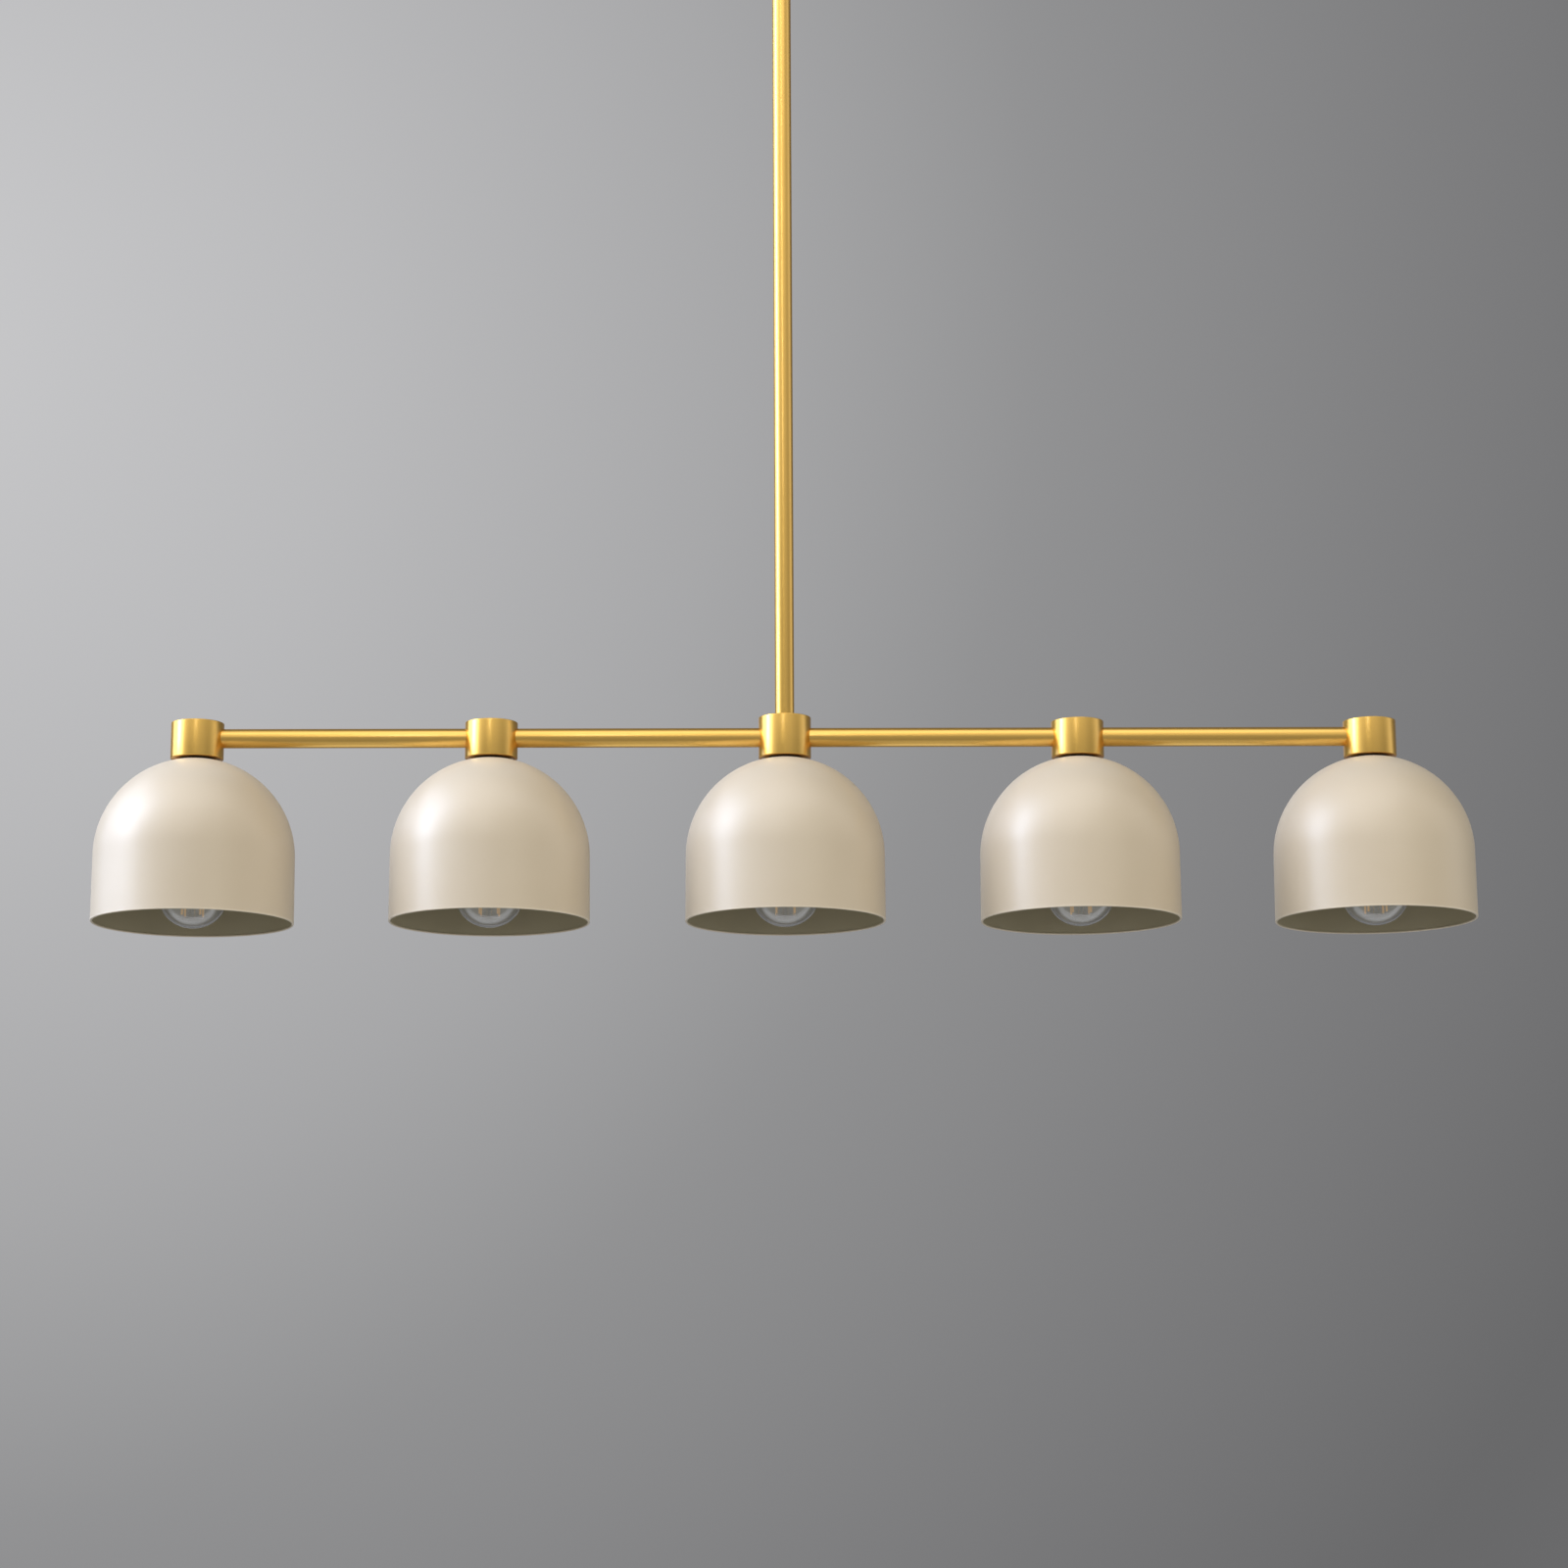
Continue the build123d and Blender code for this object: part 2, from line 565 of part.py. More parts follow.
with BuildPart() as socket_body:
    with BuildSketch(Plane.XY.offset(BARREL_MOUTH_Z)):
        Circle(SOCKET_D / 2)
    extrude(amount=BARREL_H)
    fillet(socket_body.edges().sort_by(Axis.Z)[0], BARREL_ROUND)
    with BuildSketch(Plane.XY.offset(BARREL_TOP_Z)):
        Circle(BOSS_D / 2)
    extrude(amount=BOSS_H)
    with BuildSketch(Plane.XY.offset(BARREL_MOUTH_Z)):
        Circle(SHELL_OUT_R + FIT)
    extrude(amount=BARREL_H - BARREL_FLOOR, mode=Mode.SUBTRACT)
    with BuildSketch(Plane.XY.offset(BOSS_TOP_Z)):
        with GridLocations(0, 2 * TERMINAL_R, 1, 2):
            Circle(TERMINAL_SHANK_D / 2 + FIT)
    extrude(amount=-TERMINAL_SHANK_H - FIT, mode=Mode.SUBTRACT)

with BuildPart() as socket_bodies:
    with Locations(*LAMP_PLACES):
        add(socket_body.part)
socket_bodies.part.label = "socket_bodies"
export_step(socket_bodies.part, "parts/socket_bodies.step")

with BuildPart() as socket_shell:
    with BuildSketch(Plane.XY.offset(BARREL_MOUTH_Z + SHELL_SETBACK)):
        Circle(SHELL_OUT_R)
        Circle(SHELL_IN_R, mode=Mode.SUBTRACT)
    extrude(amount=SHELL_H)

with BuildPart() as socket_shells:
    with Locations(*LAMP_PLACES):
        add(socket_shell.part)
socket_shells.part.label = "socket_shells"
export_step(socket_shells.part, "parts/socket_shells.step")

with BuildPart() as socket_contact:
    with BuildSketch(Plane.XY.offset(SOCKET_FLOOR_Z)):
        Circle(CONTACT_D / 2)
    extrude(amount=-CONTACT_T)
    with BuildSketch(Plane.XY.offset(SOCKET_FLOOR_Z - CONTACT_T)):
        Circle(CONTACT_TONGUE_D / 2)
    extrude(amount=-CONTACT_TONGUE_H)

with BuildPart() as socket_contacts:
    with Locations(*LAMP_PLACES):
        add(socket_contact.part)
socket_contacts.part.label = "socket_contacts"
export_step(socket_contacts.part, "parts/socket_contacts.step")

with BuildPart() as terminal_screw:
    with BuildSketch(Plane.XY.offset(BOSS_TOP_Z)):
        with GridLocations(0, 2 * TERMINAL_R, 1, 2):
            Circle(TERMINAL_HEAD_D / 2)
    extrude(amount=TERMINAL_HEAD_H)
    with BuildSketch(Plane.XY.offset(BOSS_TOP_Z)):
        with GridLocations(0, 2 * TERMINAL_R, 1, 2):
            Circle(TERMINAL_SHANK_D / 2)
    extrude(amount=-TERMINAL_SHANK_H)

with BuildPart() as terminal_screws:
    with Locations(*LAMP_PLACES):
        add(terminal_screw.part)
terminal_screws.part.label = "terminal_screws"
export_step(terminal_screws.part, "parts/terminal_screws.step")

# ---------------------------------------------------------------- bulbs

# The bulb is drawn from its lowest point: a ball of glass, a hollow curve up to the neck, and inside it
# the glass mount that hangs from the neck and is sealed to it.
BULB_R = BULB_D / 2
NECK_R = NECK_D / 2
GLASS_TOP = BULB_LENGTH - BULB_CAP_END
NECK_START = BULB_LENGTH - BULB_CAP_H + NECK_IN_CAP
NECK_CURVE_R = ((NECK_START - BULB_R) ** 2 + NECK_R**2 - BULB_R**2) / (2 * (BULB_R - NECK_R))
NECK_CURVE_X = NECK_R + NECK_CURVE_R
NECK_ANGLE = math.degrees(math.atan2(NECK_START - BULB_R, NECK_CURVE_X))
FLARE_Z = GLASS_TOP - FLARE_DROP
MOUNT_END = FILAMENT_START + WIRE_T / 2
ROD_TOP = FILAMENT_START + FILAMENT_L
FILAMENT_TURN = 180 / FILAMENT_COUNT

with BuildPart() as bulb_glass_form:
    with BuildSketch(Plane.XZ):
        with BuildLine():
            CenterArc((0, BULB_R), BULB_R, -90, 90 + NECK_ANGLE)
            CenterArc((NECK_CURVE_X, NECK_START), NECK_CURVE_R, 180, NECK_ANGLE)
            Polyline(
                (NECK_R, NECK_START),
                (NECK_R, GLASS_TOP),
                (0, GLASS_TOP),
                (0, MOUNT_END),
                (MOUNT_ROD_D / 2, MOUNT_END),
                (MOUNT_ROD_D / 2, ROD_TOP),
                (MOUNT_D / 2, ROD_TOP + MOUNT_TAPER),
                (MOUNT_D / 2, FLARE_Z - FLARE_H),
                (NECK_R - GLASS_WALL, FLARE_Z),
                (NECK_R - GLASS_WALL, NECK_START),
            )
            CenterArc((NECK_CURVE_X, NECK_START), NECK_CURVE_R + GLASS_WALL, 180, NECK_ANGLE)
            CenterArc((0, BULB_R), BULB_R - GLASS_WALL, -90, 90 + NECK_ANGLE)
            Line((0, GLASS_WALL), (0, 0))
        make_face()
    revolve(axis=Axis.Z)

with BuildPart() as bulb_cap_form:
    with BuildSketch(Plane.XZ):
        with BuildLine():
            Polyline(
                (BULB_CAP_D / 2, BULB_LENGTH - BULB_CAP_H),
                (BULB_CAP_D / 2, BULB_LENGTH - BUTTON_H - BULB_SHOULDER),
                (BUTTON_D / 2, BULB_LENGTH - BUTTON_H),
                (BUTTON_TIP_D / 2, BULB_LENGTH),
                (0, BULB_LENGTH),
                (0, GLASS_TOP),
                (BULB_CAP_D / 2 - BULB_CAP_WALL, GLASS_TOP),
                (BULB_CAP_D / 2 - BULB_CAP_WALL, BULB_LENGTH - BULB_CAP_H),
                close=True,
            )
        make_face()
    revolve(axis=Axis.Z)

# Light sticks stand round the mount; a wire cross joins their lower ends and arms hold their upper ends.
with BuildPart() as filament_form:
    arm_end = FILAMENT_R + FILAMENT_D / 2
    arm_start = MOUNT_ROD_D / 2 + FILAMENT_D / 2
    with BuildSketch(Plane.XY.offset(FILAMENT_START)):
        with PolarLocations(FILAMENT_R, FILAMENT_COUNT, start_angle=FILAMENT_TURN):
            Circle(FILAMENT_D / 2)
    extrude(amount=FILAMENT_L)
    with BuildSketch(Plane.XY.offset(FILAMENT_START - WIRE_T)):
        Circle(MOUNT_ROD_D / 2)
        with PolarLocations(arm_end / 2, FILAMENT_COUNT, start_angle=FILAMENT_TURN):
            Rectangle(arm_end, WIRE_T)
    extrude(amount=WIRE_T)
    with BuildSketch(Plane.XY.offset(ROD_TOP)):
        with PolarLocations((arm_end + arm_start) / 2, FILAMENT_COUNT, start_angle=FILAMENT_TURN):
            Rectangle(arm_end - arm_start, WIRE_T)
    extrude(amount=WIRE_T)

bulb_forms = {
    "bulb_glass": bulb_glass_form,
    "bulb_cap": bulb_cap_form,
    "bulb_filaments": filament_form,
}
for number, place in enumerate(BULB_PLACES):
    for name, form in bulb_forms.items():
        with BuildPart() as bulb_piece:
            with Locations(place):
                add(form.part)
        bulb_piece.part.label = f"{name}_{number + 1}"
        export_step(bulb_piece.part, f"parts/{bulb_piece.part.label}.step")

# ---------------------------------------------------------------- wiring

BLOCK_X = BLOCK_L / 2
BLOCK_Y = BLOCK_GAP / 2 + BLOCK_W / 2
BLOCK_BOTTOM_Z = HUB_FLOOR_TO_BAR - BLOCK_H / 2
BLOCK_TOP_Z = HUB_FLOOR_TO_BAR + BLOCK_H / 2
LEAD_START_Z = BOSS_TOP_Z + LEAD_D / 2
LEAD_TOP_Z = BALL_Z + BALL_R - LEAD_D - HUB_Z
TERMINAL_EDGE = TERMINAL_R - TERMINAL_HEAD_D / 2


def lead_route(number, side):
    """Points and bend radii of one lead, in its lamp's frame, from the terminal to the connector."""
    start = [(0, side * TERMINAL_EDGE, LEAD_START_Z), (0, side * LEAD_SIDE, LEAD_START_Z)]
    first_bend = (TERMINAL_EDGE - LEAD_SIDE) / 2
    if number == MIDDLE:
        return start + [(0, side * LEAD_SIDE, BLOCK_BOTTOM_Z)], [first_bend]
    steps = MIDDLE - number
    lane = LEAD_LANE if abs(steps) > 1 else -LEAD_LANE
    lane_z = HUB_FLOOR_TO_BAR + lane
    towards_middle = math.copysign(BLOCK_X, steps)
    end_x = steps * LAMP_SPACING - towards_middle
    corner = (0, side * LEAD_SIDE, lane_z)
    end = (end_x, side * LEAD_SIDE, lane_z)
    return start + [corner, end], [first_bend, LEAD_HUB_BEND]


for name, side in {"lead_live": 1, "lead_neutral": -1}.items():
    with BuildPart() as lead:
        for number, place in enumerate(LAMP_PLACES):
            points, radii = lead_route(number, side)
            with BuildLine(Plane(place)) as route:
                FilletPolyline(*points, radius=radii)
            with BuildSketch(Plane(route.line @ 0, z_dir=route.line % 0)):
                Circle(LEAD_D / 2)
            sweep(path=route.line)
            print(name, number + 1, "length", round(route.wire().length, 1), "bends", radii)
        feed_start = (LAMP_XS[MIDDLE], side * LEAD_SIDE, HUB_Z + BLOCK_TOP_Z)
        with BuildSketch(Plane(feed_start)):
            Circle(LEAD_D / 2)
        extrude(amount=LEAD_TOP_Z - BLOCK_TOP_Z)
    lead.part.label = name
    export_step(lead.part, f"parts/{name}.step")

with BuildPart() as lead_connectors:
    with BuildSketch(Plane((LAMP_XS[MIDDLE], 0, HUB_Z + BLOCK_BOTTOM_Z))):
        with GridLocations(0, 2 * BLOCK_Y, 1, 2):
            RectangleRounded(BLOCK_L, BLOCK_W, BLOCK_ROUND)
    extrude(amount=BLOCK_H)
lead_connectors.part.label = "lead_connectors"
export_step(lead_connectors.part, "parts/lead_connectors.step")

with BuildPart() as earth_post:
    with BuildSketch(Plane((LAMP_XS[MIDDLE] + EARTH_POST_R, 0, HUB_Z + PLATE_T))):
        Circle(EARTH_POST_D / 2)
    extrude(amount=EARTH_POST_H)
earth_post.part.label = "earth_post"
export_step(earth_post.part, "parts/earth_post.step")

# The earth lead rises from its post, crosses between the two blocks and goes up the stem.
with BuildPart() as lead_earth:
    post_top = PLATE_T + EARTH_POST_H
    half_turn = math.atan2(EARTH_POST_R - EARTH_OFFSET, EARTH_CROSS) / 2
    with BuildLine(Plane(LAMP_PLACES[MIDDLE])) as earth_route:
        FilletPolyline(
            (EARTH_POST_R, 0, post_top),
            (EARTH_POST_R, 0, post_top + EARTH_RISE),
            (EARTH_OFFSET, 0, post_top + EARTH_RISE + EARTH_CROSS),
            (EARTH_OFFSET, 0, LEAD_TOP_Z),
            radius=EARTH_BEND_SHARE * EARTH_RISE / math.tan(half_turn),
        )
    with BuildSketch(Plane(earth_route.line @ 0)):
        Circle(LEAD_D / 2)
    sweep(path=earth_route.line)
lead_earth.part.label = "lead_earth"
export_step(lead_earth.part, "parts/lead_earth.step")

print("rim height", round(HUB_Z + RIM_Z, 2), "bulb bottom", round(HUB_Z + BULB_Z, 2))
print("hub underside", round(HUB_Z, 2), "ball centre", round(BALL_Z, 2))
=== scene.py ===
"""Looks of the linear island pendant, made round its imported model.

Metres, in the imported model's frame: the ceiling is at zero, +Z is up and +X runs along the bar.
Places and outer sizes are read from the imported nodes; what they don't show, such as threads, beads
and grain, is set by the properties and the named values below. Most pieces are turned ones, and one
node tree turns them all.
"""

import json
import math
from functools import cache

import bmesh
import bpy
from bpy.props import FloatProperty, FloatVectorProperty, IntProperty, PointerProperty
from mathutils import Matrix, Vector


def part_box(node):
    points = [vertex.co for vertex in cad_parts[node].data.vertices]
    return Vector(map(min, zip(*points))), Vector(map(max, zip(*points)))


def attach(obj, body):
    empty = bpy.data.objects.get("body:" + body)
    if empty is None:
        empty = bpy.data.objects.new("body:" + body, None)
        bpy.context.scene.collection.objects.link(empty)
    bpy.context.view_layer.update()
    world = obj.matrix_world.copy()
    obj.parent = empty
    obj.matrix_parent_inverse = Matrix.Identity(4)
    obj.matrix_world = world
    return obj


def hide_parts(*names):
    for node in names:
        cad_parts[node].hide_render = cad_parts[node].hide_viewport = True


bl_info = {
    "name": "Linear island pendant",
    "version": (1, 0, 0),
    "blender": (4, 5, 0),
    "location": "View3D > Sidebar > Pendant",
    "description": "Shades, brass frame, bulbs, sockets and ceiling end of an island pendant",
    "category": "Add Mesh",
}

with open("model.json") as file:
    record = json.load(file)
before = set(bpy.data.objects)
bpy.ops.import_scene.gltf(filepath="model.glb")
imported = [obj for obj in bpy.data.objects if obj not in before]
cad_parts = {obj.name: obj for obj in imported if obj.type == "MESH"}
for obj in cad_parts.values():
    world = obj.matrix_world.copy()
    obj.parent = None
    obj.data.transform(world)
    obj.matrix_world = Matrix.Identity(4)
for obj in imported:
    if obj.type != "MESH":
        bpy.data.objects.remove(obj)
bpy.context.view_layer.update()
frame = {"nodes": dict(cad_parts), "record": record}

MM = 0.001
LAMPS = range(1, 6)
FIXTURE = "fixture"


def middle(node):
    """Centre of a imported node's box."""
    low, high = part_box(node)
    return (low + high) / 2


def radius(node):
    """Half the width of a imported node's box along X."""
    low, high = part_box(node)
    return (high.x - low.x) / 2


def upright(node):
    """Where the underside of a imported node's box lies, and how tall the box is."""
    low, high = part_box(node)
    return low.z, high.z - low.z


def row_radius(node):
    """Half the width of one piece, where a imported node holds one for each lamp."""
    return radius(node) - HALF_ROW


LAMP_X = {lamp: middle(f"hub_{lamp}").x for lamp in LAMPS}
MIDDLE_LAMP = 3
PITCH = LAMP_X[2] - LAMP_X[1]
HALF_ROW = (len(LAMPS) - 1) / 2 * PITCH  # from the first lamp's axis to the middle one's
HUB_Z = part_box("hub_1")[0].z
RIM_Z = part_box("shade_1")[0].z
CROWN_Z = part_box("shade_1")[1].z
BULB_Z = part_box("bulb_glass_1")[0].z
BALL_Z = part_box("swivel_ball")[1].z - radius("swivel_ball")
ROOF_GAP = 0.5 * MM  # from the bar to the roof of the hubs' wiring room


# ---------------------------------------------------------------- settings


class BrassSettings(bpy.types.PropertyGroup):
    """Satin brass of the stem, bar, hubs and ceiling end."""

    color: FloatVectorProperty(
        name="Brass", description="Colour of freshly brushed brass",
        default=(0.91, 0.56, 0.115), size=3, min=0, max=1, subtype="COLOR",
    )
    aged_color: FloatVectorProperty(
        name="Aged brass", description="Colour of the faint darker clouds under the lacquer",
        default=(0.76, 0.43, 0.07), size=3, min=0, max=1, subtype="COLOR",
    )
    roughness: FloatProperty(
        name="Roughness", description="Average roughness of the satin finish",
        default=0.29, min=0, max=1, subtype="FACTOR",
    )
    grain: FloatProperty(
        name="Grain", description="Distance between two brush lines",
        default=0.9 * MM, min=0.05 * MM, unit="LENGTH",
    )
    edge: FloatProperty(
        name="Edge", description="Radius of the hubs' broken edges",
        default=0.7 * MM, min=0.1 * MM, unit="LENGTH",
    )


class ShadeSettings(bpy.types.PropertyGroup):
    """Spun and painted dome shades."""

    color: FloatVectorProperty(
        name="Paint", description="Colour of the satin powder coat",
        default=(0.72, 0.605, 0.465), size=3, min=0, max=1, subtype="COLOR",
    )
    skirt: FloatProperty(
        name="Skirt", description="Height of the nearly straight part below the dome",
        default=55 * MM, min=0, unit="LENGTH",
    )
    draft: FloatProperty(
        name="Draft", description="How much further out the rim lies than the dome",
        default=0.3 * MM, min=0, unit="LENGTH",
    )
    wall: FloatProperty(
        name="Wall", description="Thickness of the painted sheet",
        default=1.2 * MM, min=0.3 * MM, unit="LENGTH",
    )
    hole: FloatProperty(
        name="Hole", description="Radius of the hole for the lamp's threaded tube",
        default=5.3 * MM, min=1 * MM, unit="LENGTH",
    )
    lip_width: FloatProperty(
        name="Lip width", description="Thickness of the turned-in lip at the rim",
        default=1.8 * MM, min=0.5 * MM, unit="LENGTH",
    )
    lip_height: FloatProperty(
        name="Lip height", description="Height of the turned-in lip at the rim",
        default=1.6 * MM, min=0.5 * MM, unit="LENGTH",
    )
    peel: FloatProperty(
        name="Peel", description="Size of the fine bumps of the powder coat",
        default=1.3 * MM, min=0.1 * MM, unit="LENGTH",
    )


class BulbSettings(bpy.types.PropertyGroup):
    """Clear bulbs with upright light sticks."""

    wall: FloatProperty(
        name="Glass wall", description="Thickness of the bulb's glass",
        default=0.8 * MM, min=0.2 * MM, unit="LENGTH",
    )
    neck_start: FloatProperty(
        name="Neck start", description="Height of the straight neck over the bulb's lowest point",
        default=80 * MM, min=0, unit="LENGTH",
    )
    neck_width: FloatProperty(
        name="Neck width", description="Diameter of the glass neck",
        default=25 * MM, min=5 * MM, unit="LENGTH",
    )
    thread_pitch: FloatProperty(
        name="Thread pitch", description="Rise of the rolled thread in one turn",
        default=3.63 * MM, min=1 * MM, unit="LENGTH",
    )
    thread_depth: FloatProperty(
        name="Thread depth", description="Depth of the rolled thread",
        default=0.75 * MM, min=0, unit="LENGTH",
    )
    stick_count: IntProperty(
        name="Light sticks", description="Number of light sticks round the glass mount",
        default=4, min=1,
    )
    stick_color: FloatVectorProperty(
        name="Light sticks' coat", description="Colour of the coat on the light sticks",
        default=(1.0, 0.68, 0.25), size=3, min=0, max=1, subtype="COLOR",
    )


class SocketSettings(bpy.types.PropertyGroup):
    """Porcelain sockets and their brass caps."""

    bead: FloatProperty(
        name="Bead", description="Depth of the beads rolled into the socket's cap",
        default=0.6 * MM, min=0, unit="LENGTH",
    )
    glaze_color: FloatVectorProperty(
        name="Glaze", description="Colour of the glazed porcelain",
        default=(0.78, 0.75, 0.68), size=3, min=0, max=1, subtype="COLOR",
    )


class CeilingSettings(bpy.types.PropertyGroup):
    """Canopy and swivel."""

    wall: FloatProperty(
        name="Canopy wall", description="Thickness of the canopy's sheet",
        default=1.2 * MM, min=0.3 * MM, unit="LENGTH",
    )
    edge: FloatProperty(
        name="Canopy edge", description="Outer radius of the canopy's rounded edge",
        default=5 * MM, min=1 * MM, unit="LENGTH",
    )
    knurls: IntProperty(
        name="Knurls", description="Number of ridges round a cap nut",
        default=36, min=6,
    )
    knurl_depth: FloatProperty(
        name="Knurl depth", description="Depth of the grooves between the ridges",
        default=0.35 * MM, min=0, unit="LENGTH",
    )


class StudioSettings(bpy.types.PropertyGroup):
    """Lights, backdrop and floor."""

    key_power: FloatProperty(
        name="Key", description="Power of the large soft light on the left",
        default=64, min=0, unit="POWER",
    )
    window_power: FloatProperty(
        name="Window",
        description="Power of the brighter light inside the key, which the brass shows as a line",
        default=27, min=0, unit="POWER",
    )
    wash_power: FloatProperty(
        name="Wash",
        description="Power of the soft light high up on the left, which no metal shows",
        default=19, min=0, unit="POWER",
    )
    fill_power: FloatProperty(
        name="Fill", description="Power of the narrow upright light in front, a line on the hubs",
        default=5, min=0, unit="POWER",
    )
    wall_tone: FloatProperty(
        name="Front wall",
        description="How far the brass sees the room in front of the lamp as a pale wall",
        default=0.7, min=0, max=1, subtype="FACTOR",
    )
    top_power: FloatProperty(
        name="Top", description="Power of the soft light overhead",
        default=17, min=0, unit="POWER",
    )
    side_power: FloatProperty(
        name="Side",
        description="Power of the soft light in front on the right, which no metal shows",
        default=28, min=0, unit="POWER",
    )
    ambient: FloatProperty(
        name="Ambient", description="Strength of the even light from all round",
        default=0.37, min=0,
    )
    floor_depth: FloatProperty(
        name="Floor",
        description="Height of the floor, far enough down to leave room to look up from",
        default=-5.0, unit="LENGTH",
    )


# ---------------------------------------------------------------- nodes


def add_node(tree, kind, inputs=None, **settings):
    """Adds a node; a socket given as an input is linked, and any other input is set as a value."""
    node = tree.nodes.new(kind)
    for key, value in settings.items():
        setattr(node, key, value)
    for socket, value in (inputs or {}).items():
        if isinstance(value, bpy.types.NodeSocket):
            tree.links.new(value, node.inputs[socket])
        else:
            node.inputs[socket].default_value = value
    return node


def calc(tree, operation, *values):
    """Output of a Math node."""
    inputs = dict(enumerate(values))
    return add_node(tree, "ShaderNodeMath", inputs, operation=operation).outputs[0]


def vector(tree, x, y, z):
    """Output of a Combine XYZ node."""
    return add_node(tree, "ShaderNodeCombineXYZ", {"X": x, "Y": y, "Z": z}).outputs[0]


def parts_of(tree, value):
    """The X, Y and Z of a vector."""
    return add_node(tree, "ShaderNodeSeparateXYZ", {0: value}).outputs


def dot_product(tree, one, other):
    """How far two directions agree."""
    return add_node(
        tree, "ShaderNodeVectorMath", {0: one, 1: other}, operation="DOT_PRODUCT"
    ).outputs["Value"]


def new_geometry_tree(name, inputs):
    """A geometry node group with the named inputs and those that finish_tree reads."""
    tree = bpy.data.node_groups.new(name, "GeometryNodeTree")
    common = {"Copies": "Int", "Spacing": "Float", "Finish": "Material"}
    for label, kind in {"Geometry": "Geometry", **inputs, **common}.items():
        tree.interface.new_socket(label, in_out="INPUT", socket_type=f"NodeSocket{kind}")
    tree.interface.new_socket("Geometry", in_out="OUTPUT", socket_type="NodeSocketGeometry")
    return tree, add_node(tree, "NodeGroupInput").outputs, add_node(tree, "NodeGroupOutput")


def finish_tree(tree, given, result, geometry):
    """Ends a tree: copies in a row along X, real instances, smooth faces and the finish."""
    step = vector(tree, given["Spacing"], 0.0, 0.0)
    row = add_node(tree, "GeometryNodeMeshLine", {"Count": given["Copies"], "Offset": step})
    copies = add_node(
        tree, "GeometryNodeInstanceOnPoints", {"Points": row.outputs[0], "Instance": geometry}
    )
    real = add_node(tree, "GeometryNodeRealizeInstances", {"Geometry": copies.outputs[0]})
    smooth = add_node(tree, "GeometryNodeSetShadeSmooth", {"Geometry": real.outputs[0]})
    inputs = {"Geometry": smooth.outputs[0], "Material": given["Finish"]}
    coated = add_node(tree, "GeometryNodeSetMaterial", inputs)
    tree.links.new(coated.outputs[0], result.inputs[0])


def polar(tree, distance, angle, height):
    """A place at a distance from the Z axis and an angle round it."""
    return vector(
        tree,
        calc(tree, "MULTIPLY", distance, calc(tree, "COSINE", angle)),
        calc(tree, "MULTIPLY", distance, calc(tree, "SINE", angle)),
        height,
    )


def grid_to_bend(tree, length, rows, around):
    """A grid with that length and those rows along X, and steps along Y that will go round."""
    steps = calc(tree, "ADD", around, 1.0)
    inputs = {"Size X": length, "Size Y": 1.0, "Vertices X": rows, "Vertices Y": steps}
    return add_node(tree, "GeometryNodeMeshGrid", inputs).outputs["Mesh"]


def bend_round(tree, grid, distance, angle, height):
    """Bends a grid round the Z axis and closes its seam."""
    turned = polar(tree, distance, angle, height)
    placed = add_node(
        tree, "GeometryNodeSetPosition", {"Geometry": grid, "Position": turned}
    )
    return add_node(
        tree, "GeometryNodeMergeByDistance", {"Geometry": placed.outputs[0], "Distance": 1e-6}
    ).outputs[0]


def ripple(tree, turns):
    """A wave from nought to one, with a crest at each half turn."""
    wave = calc(tree, "COSINE", turns)
    return calc(tree, "SUBTRACT", 0.5, calc(tree, "MULTIPLY", wave, 0.5))


def build_turning_tree():
    """Turns a profile, a chain of points with radius as X, round the Z axis, with any flutes."""
    tree, given, result = new_geometry_tree(
        "Turned Piece", {"Around": "Int", "Flutes": "Int", "Flute Depth": "Float"}
    )
    size = add_node(tree, "GeometryNodeAttributeDomainSize", {"Geometry": given["Geometry"]})
    point_count = size.outputs["Point Count"]
    last_point = calc(tree, "SUBTRACT", point_count, 1.0)
    grid = grid_to_bend(tree, last_point, point_count, given["Around"])
    place = parts_of(tree, add_node(tree, "GeometryNodeInputPosition").outputs[0])
    half = calc(tree, "MULTIPLY", last_point, 0.5)
    index = calc(tree, "ROUND", calc(tree, "ADD", place["X"], half))
    profile = add_node(
        tree,
        "GeometryNodeSampleIndex",
        {
            "Geometry": given["Geometry"],
            "Value": add_node(tree, "GeometryNodeInputPosition").outputs[0],
            "Index": index,
        },
        data_type="FLOAT_VECTOR",
    )
    point = parts_of(tree, profile.outputs[0])
    angle = calc(tree, "MULTIPLY", calc(tree, "ADD", place["Y"], 0.5), math.tau)
    groove = ripple(tree, calc(tree, "MULTIPLY", angle, given["Flutes"]))
    cut = calc(tree, "MULTIPLY", calc(tree, "MULTIPLY", groove, point["Y"]), given["Flute Depth"])
    distance = calc(tree, "SUBTRACT", point["X"], cut)
    finish_tree(tree, given, result, bend_round(tree, grid, distance, angle, point["Z"]))
    return tree


